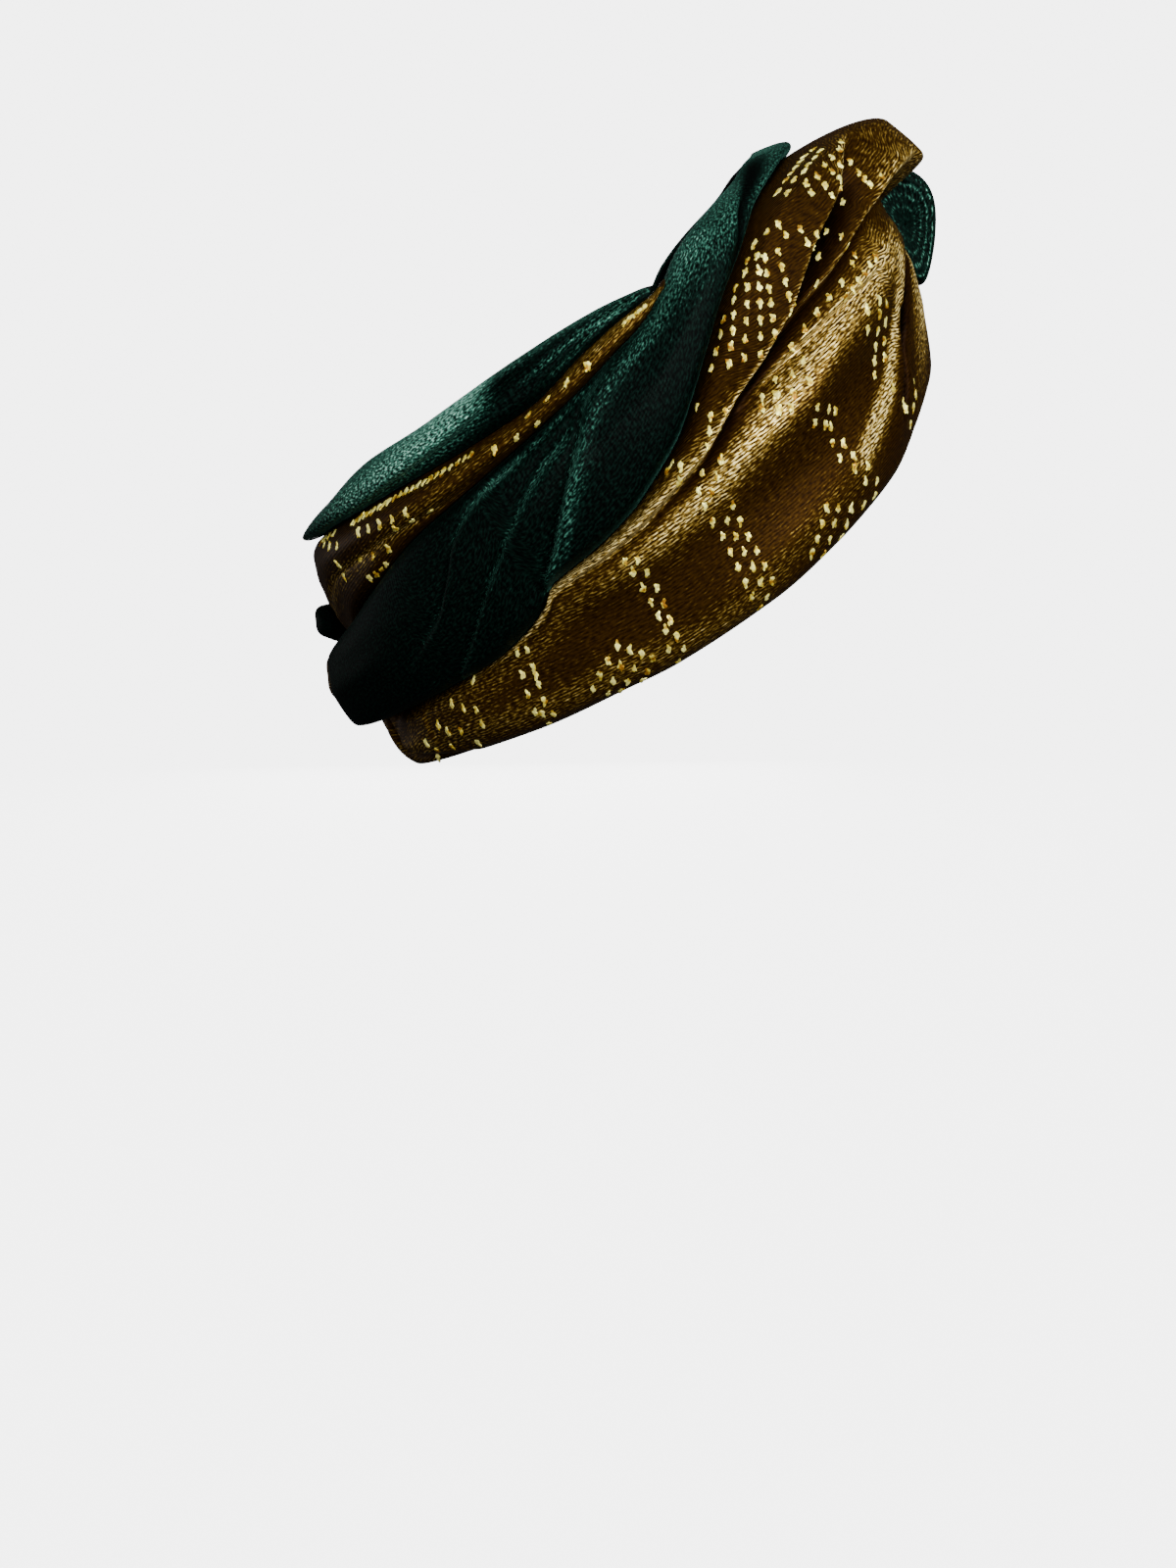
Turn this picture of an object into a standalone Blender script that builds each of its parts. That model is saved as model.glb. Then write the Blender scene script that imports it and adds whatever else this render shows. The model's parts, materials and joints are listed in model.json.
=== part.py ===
"""Turban headwrap: bands of green and gold stretch velvet wound round the head.

The wrap keeps the form in which it is worn. The origin is the middle of the head space, +X is the
wearer's front, +Y the wearer's left and +Z up. The ring of the wrap is tilted, high at the front.
"""
import math

import bmesh
import bpy
import numpy as np

# Driving sizes, in metres and degrees
HEAD_LENGTH = 0.196
HEAD_WIDTH = 0.153
RING_HEIGHT = 0.100
RING_TILT = 35.0
BAND_LIFT = 0.010
BAND_GAP = 0.0006
HEAD_CLEARANCE = 0.0006
EDGE_ROUNDING = 0.0045
EDGE_SHARE = 0.45
TIP_THICKNESS = 0.0016
LOOP_THICKNESS = 0.0028
LOOP_DEPTH = 0.021
LOOP_HEIGHT = 0.036
GATHER_REACH = 0.0010
KNOT_GAP = 0.0004
BACK_KNOT_WIDTH = 0.014

HALF_LENGTH = HEAD_LENGTH / 2
HALF_WIDTH = HEAD_WIDTH / 2
LOOP_WIDTH = 0.1634 * HEAD_WIDTH

# Head rings: height, back and front as shares of half the head's length, side of half its width
HEAD_RINGS = (
    # height, back, front, side
    (-0.87, 0.63, 0.51, 0.68),
    (-0.66, 0.90, 0.67, 0.84),
    (-0.46, 0.99, 0.82, 0.93),
    (-0.26, 1.01, 0.92, 0.98),
    (0.00, 1.00, 0.98, 1.00),
    (0.26, 0.95, 0.96, 0.97),
    (0.46, 0.86, 0.88, 0.89),
    (0.61, 0.78, 0.78, 0.78),
    (0.77, 0.63, 0.63, 0.63),
)

# Edges between bands: degrees round the ring from the front, height as a share of the ring's height
UPPER_RIM = (
    # around, height
    (66, 0.362), (80, 0.402), (90, 0.414), (104, 0.420), (117, 0.420), (135, 0.430), (156, 0.400),
    (180, 0.385),
)
UPPER_SEAM = (
    # around, height
    (66, 0.345), (75, 0.340), (85, 0.323), (99, 0.285), (111, 0.292), (121, 0.303), (138, 0.320),
    (158, 0.330), (180, 0.325),
)
CROSSING_TOP = (
    # around, height
    (0, 0.515), (23, 0.500), (36, 0.470), (50, 0.441), (60, 0.403), (67, 0.350), (74, 0.297),
    (82, 0.270), (90, 0.243), (105, 0.211), (118, 0.190), (130, 0.169), (145, 0.115), (156, 0.073),
    (180, 0.020),
)
CROSSING_FOOT = (
    # around, height
    (0, 0.440), (14, 0.445), (33, 0.413), (44, 0.370), (55, 0.281), (62, 0.217), (69, 0.131),
    (75, 0.051), (81, -0.023), (88, -0.080), (94, -0.119), (102, -0.146), (111, -0.160), (114, -0.195),
    (121, -0.237), (130, -0.258), (151, -0.256), (175, -0.250), (177.5, -0.090), (180, -0.030),
)
LOWER_RIM = (
    # around, height
    (0, -0.340), (9, -0.350), (20, -0.390), (31, -0.445), (40, -0.498), (51, -0.525), (62, -0.546),
    (80, -0.567), (90, -0.567), (102, -0.562), (113, -0.541), (126, -0.521), (142, -0.490),
    (160, -0.465), (180, -0.450),
)

# How far each band stands off the head, in shares of BAND_LIFT, at five places across it
UPPER_GREEN_LIFT = (
    # around, low, lower, middle, upper, high
    (66, 0.30, 0.35, 0.35, 0.35, 0.30), (80, 0.45, 0.60, 0.60, 0.55, 0.40),
    (100, 0.60, 0.80, 0.85, 0.75, 0.50), (180, 0.60, 0.75, 0.80, 0.70, 0.50),
)
UPPER_GOLD_LIFT = (
    # around, low, lower, middle, upper, high
    (66, 0.30, 0.35, 0.35, 0.35, 0.30), (80, 0.50, 0.55, 0.55, 0.55, 0.45),
    (110, 0.55, 0.62, 0.65, 0.60, 0.50), (150, 0.50, 0.60, 0.65, 0.65, 0.55),
    (180, 0.20, 0.35, 0.55, 0.65, 0.55),
)
CROSSING_LIFT = (
    # around, low, lower, middle, upper, high
    (0, 0.80, 0.85, 0.85, 0.75, 0.45), (30, 0.90, 1.00, 1.00, 0.90, 0.60),
    (60, 0.95, 1.15, 1.20, 1.05, 0.70), (90, 0.85, 1.05, 1.10, 0.95, 0.60),
    (120, 0.95, 1.15, 1.20, 1.05, 0.70), (150, 1.30, 1.60, 1.65, 1.40, 0.95),
    (165, 1.90, 2.20, 2.20, 1.90, 1.40), (180, 2.00, 2.30, 2.30, 2.00, 1.60),
)
LOWER_GOLD_LIFT = (
    # around, low, lower, middle, upper, high
    (0, 0.50, 0.45, 0.25, 0.45, 2.40), (8, 0.50, 0.50, 0.25, 0.50, 2.60),
    (10.5, 0.50, 0.75, 1.05, 2.30, 3.20), (14, 0.50, 0.80, 1.15, 2.35, 3.20),
    (22, 0.45, 0.88, 1.30, 2.10, 2.60), (35, 0.45, 0.90, 1.30, 1.75, 1.80),
    (50, 0.45, 0.90, 1.15, 1.25, 1.15), (70, 0.50, 0.80, 0.95, 0.95, 0.75),
    (90, 0.50, 0.78, 0.90, 0.80, 0.60), (120, 0.55, 0.80, 0.90, 0.80, 0.60),
    (150, 0.65, 0.85, 0.95, 0.90, 0.80), (172, 1.20, 1.30, 1.25, 0.90, 0.60),
    (180, 1.30, 1.20, 0.80, 0.40, 0.35),
)

# Folds of each band: step, crease and ridge as shares of BAND_LIFT, reach and sharpness in metres, then
# where the fold runs: degrees round the ring, share across the band, strength
LOWER_GOLD_FOLDS = (
    # outer crest, inner crest, underside of the knot, third crest, satin ridge, valley, low ridge, slit
    (0.46, 0.14, 0.00, 0.011, 0.0020, (
        (20, 0.95, 0.0), (28, 0.92, 0.5), (35, 0.86, 0.8), (40, 0.83, 1.0), (46, 0.81, 1.0), (53, 0.79, 1.0),
        (59, 0.77, 1.0), (64, 0.77, 1.0), (71, 0.80, 1.0), (78, 0.82, 0.9), (87, 0.87, 0.8), (97, 0.91, 0.6),
        (112, 0.95, 0.4), (140, 0.99, 0.0))),
    (0.36, 0.18, 0.00, 0.008, 0.0020, (
        (15, 0.74, 0.0), (24, 0.735, 0.8), (30, 0.725, 1.0), (35, 0.72, 1.0), (45, 0.70, 1.0), (51, 0.72, 1.0),
        (60, 0.75, 0.8), (67, 0.775, 0.3), (71, 0.80, 0.0))),
    (0.60, 0.10, 0.00, 0.012, 0.0025, (
        (9, 0.73, 0.5), (12, 0.73, 1.0), (19, 0.745, 0.8), (26, 0.735, 0.4), (33, 0.72, 0.0))),
    (0.28, 0.12, 0.00, 0.008, 0.0020, (
        (22, 0.61, 0.0), (28, 0.60, 0.6), (37, 0.58, 1.0), (45, 0.60, 1.0), (52, 0.63, 1.0), (58, 0.66, 1.0),
        (64, 0.70, 0.8), (69, 0.74, 0.3), (72, 0.78, 0.0))),
    (0.00, 0.00, 0.26, 0.008, 0.0020, (
        (20, 0.57, 0.5), (27, 0.57, 1.0), (41, 0.53, 1.0), (52, 0.54, 1.0), (59, 0.50, 1.0), (66, 0.54, 1.0),
        (72, 0.60, 1.0), (78, 0.66, 1.0), (89, 0.75, 1.0), (102, 0.86, 1.0), (112, 0.92, 0.8),
        (130, 0.97, 0.0))),
    (0.00, 0.00, -0.30, 0.011, 0.0020, (
        (32, 0.45, 0.3), (47, 0.35, 1.0), (58, 0.35, 1.0), (72, 0.42, 1.0), (88, 0.53, 1.0), (104, 0.54, 1.0),
        (118, 0.66, 1.0), (133, 0.75, 0.6), (150, 0.80, 0.3))),
    (0.00, 0.00, 0.16, 0.008, 0.0020, (
        (33, 0.15, 0.6), (54, 0.12, 1.0), (76, 0.14, 1.0), (94, 0.14, 1.0), (109, 0.20, 1.0), (124, 0.32, 1.0),
        (143, 0.40, 1.0), (170, 0.45, 0.5))),
    (0.10, 0.30, 0.00, 0.006, 0.0015, (
        (18, 0.55, 0.0), (23, 0.48, 1.0), (28, 0.42, 1.0), (34, 0.33, 1.0), (36, 0.22, 0.7), (40, 0.15, 0.0))),
)
CROSSING_FOLDS = (
    # edge of the front strip, long pleat, short pleat, crease at the top
    (-0.36, 0.20, 0.00, 0.011, 0.0018, (
        (80, 1.02, 0.0), (86, 0.96, 0.6), (90, 0.90, 1.0), (94, 0.72, 1.0), (100, 0.49, 1.0),
        (108, 0.15, 1.0), (112, 0.02, 1.0), (116, -0.20, 1.0))),
    (-0.18, 0.24, 0.00, 0.008, 0.0018, (
        (92, 0.90, 0.0), (96, 0.80, 0.8), (100, 0.77, 1.0), (105, 0.68, 1.0), (111, 0.53, 1.0), (118, 0.41, 1.0),
        (126, 0.22, 1.0), (136, 0.00, 0.8), (140, -0.10, 0.0))),
    (-0.14, 0.20, 0.00, 0.007, 0.0018, (
        (102, 0.93, 0.0), (106, 0.92, 0.6), (110, 0.92, 1.0), (115, 0.89, 1.0), (120, 0.80, 1.0),
        (123, 0.67, 1.0), (128, 0.51, 0.8), (134, 0.40, 0.3), (140, 0.30, 0.0))),
    (0.00, 0.34, 0.00, 0.005, 0.0020, (
        (24, 0.90, 0.3), (36, 0.71, 1.0), (49, 0.44, 0.9), (54, 0.24, 0.5), (61, 0.14, 0.0))),
)
UPPER_GREEN_FOLDS = (
    # pleat
    (0.30, 0.10, 0.00, 0.006, 0.0012, (
        (92, 0.90, 0.0), (98, 0.80, 1.0), (103, 0.70, 1.0), (107, 0.48, 1.0), (115, 0.36, 1.0),
        (123, 0.30, 0.6), (135, 0.20, 0.0))),
)
UPPER_GOLD_FOLDS = (
    # ridge
    (0.00, 0.00, 0.18, 0.004, 0.0012, (
        (70, 0.40, 0.5), (77, 0.43, 1.0), (92, 0.30, 1.0), (103, 0.34, 1.0), (119, 0.50, 1.0), (135, 0.66, 1.0),
        (150, 0.72, 0.6), (180, 0.75, 0.2))),
)
CREASE_WIDTH = 1.6

# What shapes each band: the edge above, the edge below, its lift and its folds
BAND_SHAPES = {
    "upper_green": (UPPER_RIM, UPPER_SEAM, UPPER_GREEN_LIFT, UPPER_GREEN_FOLDS),
    "upper_gold": (UPPER_SEAM, CROSSING_TOP, UPPER_GOLD_LIFT, UPPER_GOLD_FOLDS),
    "crossing_green": (CROSSING_TOP, CROSSING_FOOT, CROSSING_LIFT, CROSSING_FOLDS),
    "lower_gold": (CROSSING_FOOT, LOWER_RIM, LOWER_GOLD_LIFT, LOWER_GOLD_FOLDS),
}
BANDS = (
    # name, colour, start, end, outer points, inner points, rounded start, rounded end (degrees)
    ("upper_green_band", "green", 69, 291, 9, 3, 10, 10),
    ("upper_gold_band", "gold", 70, 290, 9, 3, 8, 8),
    ("crossing_green_band", "green", -174, 174, 15, 4, 9, 9),
    ("lower_gold_band_right", "gold", 0.12, 179.85, 23, 5, 0, 0),
    ("lower_gold_band_left", "gold", -179.85, -0.12, 23, 5, 0, 0),
)

# Front knot: its middle as shares of half the head's length and of the ring's height
KNOT_FORWARD = 1.117
KNOT_UP = 0.072
KNOT_LEAN = 0.60
OVAL_ROUNDNESS = 0.85

# Where the bands' sections are, in degrees, and how the points of one are spread
STATION_STEP = 5
STATION_SPACING = 0.8
END_STATIONS = (0, 0.08, 0.30)
END_FALL = 0.97
EDGE_CROWDING = 0.45
KNOT_STATIONS = (-12.5, -10.6, -8, 8, 10.6, 12.5)

# Pleats, neck and counts of the gather and the loop
GATHER_PLEAT = 0.10
GATHER_NECK = 0.48
GATHER_PLEATS = 6
GATHER_SIDES = 24
GATHER_STATIONS = (-1, -0.70, -0.40, 0, 0.40, 0.70, 1)
LOOP_CROWN_POINTS = 7
LOOP_STATIONS = 24
LOOP_CROWN_EDGE = 0.96
LOOP_WALL_SHARE = 0.80
LOOP_WALL_DEPTH = 0.0030

# Rolls at the nape: middle and half sizes, in shares of half the head's length, ring height and knot width
BACK_ROLLS = {
    # name: along, up, half depth, half height, half width
    "back_knot_gold": (-1.146, -0.100, 0.092, 0.108, 1.00),
    "back_knot_green": (-1.094, 0.088, 0.058, 0.066, 1.10),
}
ROLL_SIDES = 14
ROLL_RINGS = 10
ROLL_CREASE = 0.10
ROLL_CREASES = 5
SHARP_ANGLE = 50

COLLECTION = "turban_headwrap"

# Materials: colour, roughness, metallic
GREEN_VELVET = ("green_velvet", (0.010, 0.050, 0.034), 0.62, 0.0)
GOLD_BROCADE = ("gold_brocade", (0.150, 0.085, 0.016), 0.48, 0.35)


def smooth(table, column, at):
    """The table's column at each place of its first column, by a monotone cubic through the rows."""
    rows = np.array(table, float)
    place = rows[:, 0]
    value = rows[:, column]
    width = np.diff(place)
    slope = np.diff(value) / width
    tangent = np.zeros(len(rows))
    tangent[0] = slope[0]
    tangent[-1] = slope[-1]
    same_way = slope[:-1] * slope[1:] > 0
    inner = np.zeros(len(slope) - 1)
    inner[same_way] = 2 / (1 / slope[:-1][same_way] + 1 / slope[1:][same_way])
    tangent[1:-1] = inner
    at = np.clip(at, place[0], place[-1])
    row = np.clip(np.searchsorted(place, at, side="right") - 1, 0, len(width) - 1)
    share = (at - place[row]) / width[row]
    start = (1 + 2 * share) * (1 - share) ** 2
    start_pull = share * (1 - share) ** 2
    end = share ** 2 * (3 - 2 * share)
    end_pull = share ** 2 * (share - 1)
    return (start * value[row] + end * value[row + 1]
            + width[row] * (start_pull * tangent[row] + end_pull * tangent[row + 1]))


def from_ring(along, across, up):
    """A point of the tilted ring's own frame as (x, y, z)."""
    tilt = math.radians(RING_TILT)
    x = along * math.cos(tilt) - up * math.sin(tilt)
    z = along * math.sin(tilt) + up * math.cos(tilt)
    return np.stack([x, across, z], axis=-1)


def on_head(around, height, lift):
    """The point that stands off the head by lift, at degrees round from the front to the right side."""
    level = height / HALF_LENGTH
    back = smooth(HEAD_RINGS, 1, level) * HALF_LENGTH
    front = smooth(HEAD_RINGS, 2, level) * HALF_LENGTH
    side = smooth(HEAD_RINGS, 3, level) * HALF_WIDTH
    turn = np.radians(around)
    reach = np.where(np.cos(turn) > 0, front, back) + lift
    return from_ring(reach * np.cos(turn), -(side + lift) * np.sin(turn), height)


def band_lift(around, across, width, lifts, folds):
    """How far the band's outside stands off the head at a share across it."""
    columns = len(lifts[0]) - 1
    section = [(number / (columns - 1), smooth(lifts, number + 1, around)) for number in range(columns)]
    lift = smooth(section, 1, across)
    for step, crease, ridge, reach, sharpness, line in folds:
        if line[0][0] <= around <= line[-1][0]:
            off = (across - smooth(line, 1, around)) * width
            profile = step * np.tanh(off / sharpness) * np.exp(-np.abs(off) / reach)
            profile = profile - crease * np.exp(-((off / (CREASE_WIDTH * sharpness)) ** 2))
            profile = profile + ridge * np.exp(-((off / reach) ** 2))
            lift = lift + smooth(line, 2, around) * profile
    return lift * BAND_LIFT


def end_share(around, ends, rounding):
    """1 along the band, falling by a quarter circle to a small share at each rounded end."""
    share = 1.0
    for end, length in zip(ends, rounding):
        if length > 0:
            near = min(abs(around - end) / length, 1.0)
            share = min(share, math.sqrt(1 - (1 - near) ** 2 * END_FALL))
    return share


def band_section(around, shape, closing, outer_count, inner_count):
    """The closed outline of a band at one place: its outside from low edge to high edge, then its back."""
    top, foot, lifts, folds = shape
    place = abs((around + 180) % 360 - 180)
    high = smooth(top, 1, place) * RING_HEIGHT - BAND_GAP / 2
    low = smooth(foot, 1, place) * RING_HEIGHT + BAND_GAP / 2
    middle = (high + low) / 2
    width = max((high - low) * closing, TIP_THICKNESS)
    even = np.linspace(0, 1, outer_count)
    across = EDGE_CROWDING * (1 - np.cos(even * math.pi)) / 2 + (1 - EDGE_CROWDING) * even
    height = middle + (across - 0.5) * width
    lift = band_lift(place, across, width, lifts, folds) * closing
    low_round, high_round = np.minimum(np.maximum(EDGE_SHARE * lift[[0, -1]], EDGE_ROUNDING), width / 2)
    from_edge = np.minimum(np.minimum(across * width / low_round, (1 - across) * width / high_round), 1)
    rounded = np.sqrt(1 - (1 - from_edge) ** 2)
    lift = HEAD_CLEARANCE + TIP_THICKNESS / 2 + np.maximum(lift, TIP_THICKNESS) * rounded
    outside = on_head(around, height, lift)
    back_across = np.linspace(1, 0, inner_count + 2)[1:-1]
    back_height = middle + (back_across - 0.5) * width
    inside = on_head(around, back_height, HEAD_CLEARANCE)
    return np.concatenate([outside, inside])


def loft(name, sections, material, closed=False):
    """A body through sections of as many points each, capped at both ends unless it closes on itself."""
    rows, count = len(sections), len(sections[0])
    points = np.concatenate(sections)
    faces = []
    for row in range(rows if closed else rows - 1):
        for column in range(count):
            other = (column + 1) % count
            start, end = row * count, (row + 1) % rows * count
            faces.append((start + column, start + other, end + other, end + column))
    if not closed:
        faces.append(tuple(range(count))[::-1])
        faces.append(tuple((rows - 1) * count + column for column in range(count)))
    mesh = bpy.data.meshes.new(name)
    mesh.from_pydata([tuple(point) for point in points], [], faces)
    mesh.update()
    return finished(name, mesh, material)


def face_out(mesh):
    """Turns the faces so that the body's volume is positive."""
    mesh.calc_loop_triangles()
    points = np.array([vertex.co for vertex in mesh.vertices])
    corners = np.array([triangle.vertices for triangle in mesh.loop_triangles])
    first, second, third = points[corners[:, 0]], points[corners[:, 1]], points[corners[:, 2]]
    if np.einsum("ij,ij->i", first, np.cross(second, third)).sum() < 0:
        mesh.flip_normals()


def stations_between(start, end, rounding):
    """The places of a band's sections: shared steps round the ring, its two ends and two more near each."""
    inner = [step * STATION_STEP for step in range(-360, 360) if start < step * STATION_STEP < end]
    near = [start + share * rounding[0] for share in (END_STATIONS if rounding[0] else (0,))]
    near += [end - share * rounding[1] for share in (END_STATIONS if rounding[1] else (0,))]
    near += [place for place in KNOT_STATIONS if start < place < end]
    inner = [place for place in inner if min(abs(place - other) for other in near) > STATION_SPACING]
    return sorted(inner + near)


def band(name, material, start, end, rounding, outer, inner):
    """A band from start to end degrees round the ring, negative degrees being the wearer's left side."""
    shape = BAND_SHAPES[name.rsplit("_band")[0]]
    sections = []
    for around in stations_between(start, end, rounding):
        closing = end_share(around, (start, end), rounding)
        sections.append(band_section(around, shape, closing, outer, inner))
    return loft(name, sections, material)


def on_front(forward, across, up):
    """A point near the front knot, from its middle, upright in the wearer's frame."""
    middle = from_ring(KNOT_FORWARD * HALF_LENGTH, 0.0, KNOT_UP * RING_HEIGHT)
    return middle + np.stack([forward, across, up], axis=-1)


def oval(turn, half_depth, half_height):
    """Forward and up on a rounded oval, at radians from its front; its back leans with the forehead."""
    forward = np.sign(np.cos(turn)) * np.abs(np.cos(turn)) ** OVAL_ROUNDNESS * half_depth
    up = np.sign(np.sin(turn)) * np.abs(np.sin(turn)) ** OVAL_ROUNDNESS * half_height
    return forward - KNOT_LEAN * up * (1 - np.cos(turn)) / 2, up


def front_gather(material):
    """The gold pinched inside the loop, fuller at both ends, with a few lengthwise pleats."""
    inside = LOOP_THICKNESS + KNOT_GAP
    turn = np.linspace(0, 2 * math.pi, GATHER_SIDES, endpoint=False)
    sections = []
    for share in GATHER_STATIONS:
        pleat = 1 - GATHER_PLEAT * (1 + np.cos(GATHER_PLEATS * turn)) / 2
        pleat = pleat * (1 - GATHER_NECK * (abs(share) >= GATHER_STATIONS[-2]))
        forward, up = oval(turn, LOOP_DEPTH / 2 - inside, LOOP_HEIGHT / 2 - inside)
        across = np.full(GATHER_SIDES, share * (LOOP_WIDTH / 2 + GATHER_REACH))
        sections.append(on_front(forward * pleat, across, up * pleat))
    return loft("front_gather", sections, material)


def front_loop(material):
    """The smooth green band that goes once round the gather; its two edges turn in toward it."""
    crown = np.linspace(-1, 1, LOOP_CROWN_POINTS)
    outer = np.sqrt(1 - (crown * LOOP_CROWN_EDGE) ** 2) * LOOP_THICKNESS
    wall_offset = np.array([-1, -1, 0, 0, -1, -1]) * LOOP_WALL_DEPTH
    offset = np.concatenate([outer, wall_offset])
    wall = np.array([1, LOOP_WALL_SHARE, LOOP_WALL_SHARE])
    across = np.concatenate([crown, wall, -wall[::-1]]) * LOOP_WIDTH / 2
    sections = []
    for turn in np.linspace(0, 2 * math.pi, LOOP_STATIONS, endpoint=False):
        half_depth = LOOP_DEPTH / 2 - LOOP_THICKNESS + offset
        half_height = LOOP_HEIGHT / 2 - LOOP_THICKNESS + offset
        forward, up = oval(np.full(len(across), turn), half_depth, half_height)
        sections.append(on_front(forward, across, up))
    return loft("front_loop", sections, material, closed=True)


def back_roll(name, row, material):
    """A small rounded roll at the nape with creases that run over it from side to side."""
    along, up, depth, height, width = row
    build = bmesh.new()
    bmesh.ops.create_uvsphere(build, u_segments=ROLL_SIDES, v_segments=ROLL_RINGS, radius=1)
    for vertex in build.verts:
        x, y, z = vertex.co
        wave = (1 + math.cos(ROLL_CREASES * math.atan2(z, x))) / 2
        crease = 1 - ROLL_CREASE * wave * math.hypot(x, z)
        place = from_ring(
            along * HALF_LENGTH + x * crease * depth * HALF_LENGTH,
            y * width * BACK_KNOT_WIDTH / 2,
            up * RING_HEIGHT + z * crease * height * RING_HEIGHT,
        )
        vertex.co = place
    mesh = bpy.data.meshes.new(name)
    build.to_mesh(mesh)
    build.free()
    return finished(name, mesh, material)


def finished(name, mesh, material):
    """The object of a mesh, facing out, smooth and in the wrap's collection."""
    face_out(mesh)
    mesh.shade_smooth()
    mesh.set_sharp_from_angle(angle=math.radians(SHARP_ANGLE))
    mesh.materials.append(material)
    thing = bpy.data.objects.new(name, mesh)
    bpy.data.collections[COLLECTION].objects.link(thing)
    return thing


def cloth_material(row):
    """A Principled material with the cloth's colour, roughness and metallic value."""
    name, colour, roughness, metallic = row
    material = bpy.data.materials.new(name)
    material.use_nodes = True
    shader = material.node_tree.nodes["Principled BSDF"]
    shader.inputs["Base Color"].default_value = (*colour, 1.0)
    shader.inputs["Roughness"].default_value = roughness
    shader.inputs["Metallic"].default_value = metallic
    return material


def main():
    for thing in list(bpy.data.objects):
        bpy.data.objects.remove(thing)
    bpy.context.scene.collection.children.link(bpy.data.collections.new(COLLECTION))
    green = cloth_material(GREEN_VELVET)
    gold = cloth_material(GOLD_BROCADE)
    for row in BANDS:
        name, colour, start, end, outer, inner, start_round, end_round = row
        material = green if colour == "green" else gold
        band(name, material, start, end, (start_round, end_round), outer, inner)
    front_gather(gold)
    front_loop(green)
    for name, row in BACK_ROLLS.items():
        back_roll(name, row, green if name.endswith("green") else gold)


main()
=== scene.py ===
import json
import math

import bpy
import numpy as np
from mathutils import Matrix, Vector

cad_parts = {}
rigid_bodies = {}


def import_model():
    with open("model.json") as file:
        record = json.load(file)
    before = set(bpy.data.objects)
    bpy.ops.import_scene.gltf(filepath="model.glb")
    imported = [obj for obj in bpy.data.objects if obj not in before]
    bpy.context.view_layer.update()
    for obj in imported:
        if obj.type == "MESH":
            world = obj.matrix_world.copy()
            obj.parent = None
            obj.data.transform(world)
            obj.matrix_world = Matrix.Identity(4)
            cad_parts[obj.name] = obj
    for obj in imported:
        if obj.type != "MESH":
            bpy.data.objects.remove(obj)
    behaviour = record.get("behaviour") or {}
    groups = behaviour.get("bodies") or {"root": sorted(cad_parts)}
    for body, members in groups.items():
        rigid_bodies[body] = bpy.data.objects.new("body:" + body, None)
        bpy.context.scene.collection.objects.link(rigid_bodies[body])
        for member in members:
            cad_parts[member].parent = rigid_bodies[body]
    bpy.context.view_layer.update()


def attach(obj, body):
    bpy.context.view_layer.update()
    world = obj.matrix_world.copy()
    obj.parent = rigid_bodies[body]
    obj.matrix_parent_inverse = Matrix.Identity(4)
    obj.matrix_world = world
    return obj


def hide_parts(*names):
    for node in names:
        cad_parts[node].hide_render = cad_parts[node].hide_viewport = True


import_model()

# Driving sizes of the wrap, in metres and degrees
HEAD_LENGTH = 0.196
HEAD_WIDTH = 0.153
RING_HEIGHT = 0.100
RING_TILT = 35.0
BAND_LIFT = 0.010
HEAD_CLEARANCE = 0.0006
EDGE_ROUNDING = 0.0040
EDGE_SHARE = 0.28
TIP_THICKNESS = 0.0016
LOOP_WIDTH = 0.025
LOOP_THICKNESS = 0.0028
LOOP_DEPTH = 0.021
LOOP_HEIGHT = 0.036
LOOP_OPENING = 0.03
KNOT_GAP = 0.0004
LAYER_GAP = 0.0003
BACK_KNOT_WIDTH = 0.014
HALF_LENGTH = HEAD_LENGTH / 2
HALF_WIDTH = HEAD_WIDTH / 2

# Head rings: height, back and front as shares of half the head's length, side as a share of half its width
HEAD_RINGS = (
    (-0.87, 0.63, 0.51, 0.68), (-0.66, 0.90, 0.67, 0.84), (-0.46, 0.99, 0.82, 0.93),
    (-0.26, 1.01, 0.92, 0.98), (0.00, 1.00, 0.98, 1.00), (0.26, 0.95, 0.96, 0.97), (0.46, 0.86, 0.88, 0.89),
    (0.61, 0.78, 0.78, 0.78), (0.77, 0.63, 0.63, 0.63),
)

# Edges between bands: degrees round the ring from the front, height as a share of the ring's height
UPPER_RIM = (
    (66, 0.362), (80, 0.402), (90, 0.414), (104, 0.420), (117, 0.420), (135, 0.430), (156, 0.400),
    (180, 0.385),
)
UPPER_SEAM = (
    (66, 0.345), (75, 0.340), (85, 0.323), (99, 0.285), (111, 0.292), (121, 0.303), (138, 0.320),
    (158, 0.330), (180, 0.325),
)
CROSSING_TOP = (
    (0, 0.515), (23, 0.500), (36, 0.470), (50, 0.441), (60, 0.403), (67, 0.350), (74, 0.297), (82, 0.270),
    (90, 0.243), (105, 0.211), (118, 0.190), (130, 0.169), (145, 0.115), (156, 0.073), (180, 0.020),
)
CROSSING_FOOT = (
    (0, 0.440), (14, 0.445), (33, 0.413), (44, 0.370), (55, 0.281), (62, 0.217), (69, 0.131), (75, 0.051),
    (81, -0.023), (88, -0.080), (94, -0.119), (102, -0.146), (111, -0.160), (114, -0.195), (121, -0.237),
    (130, -0.258), (151, -0.256), (175, -0.250), (177.5, -0.090), (180, -0.030),
)
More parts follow.
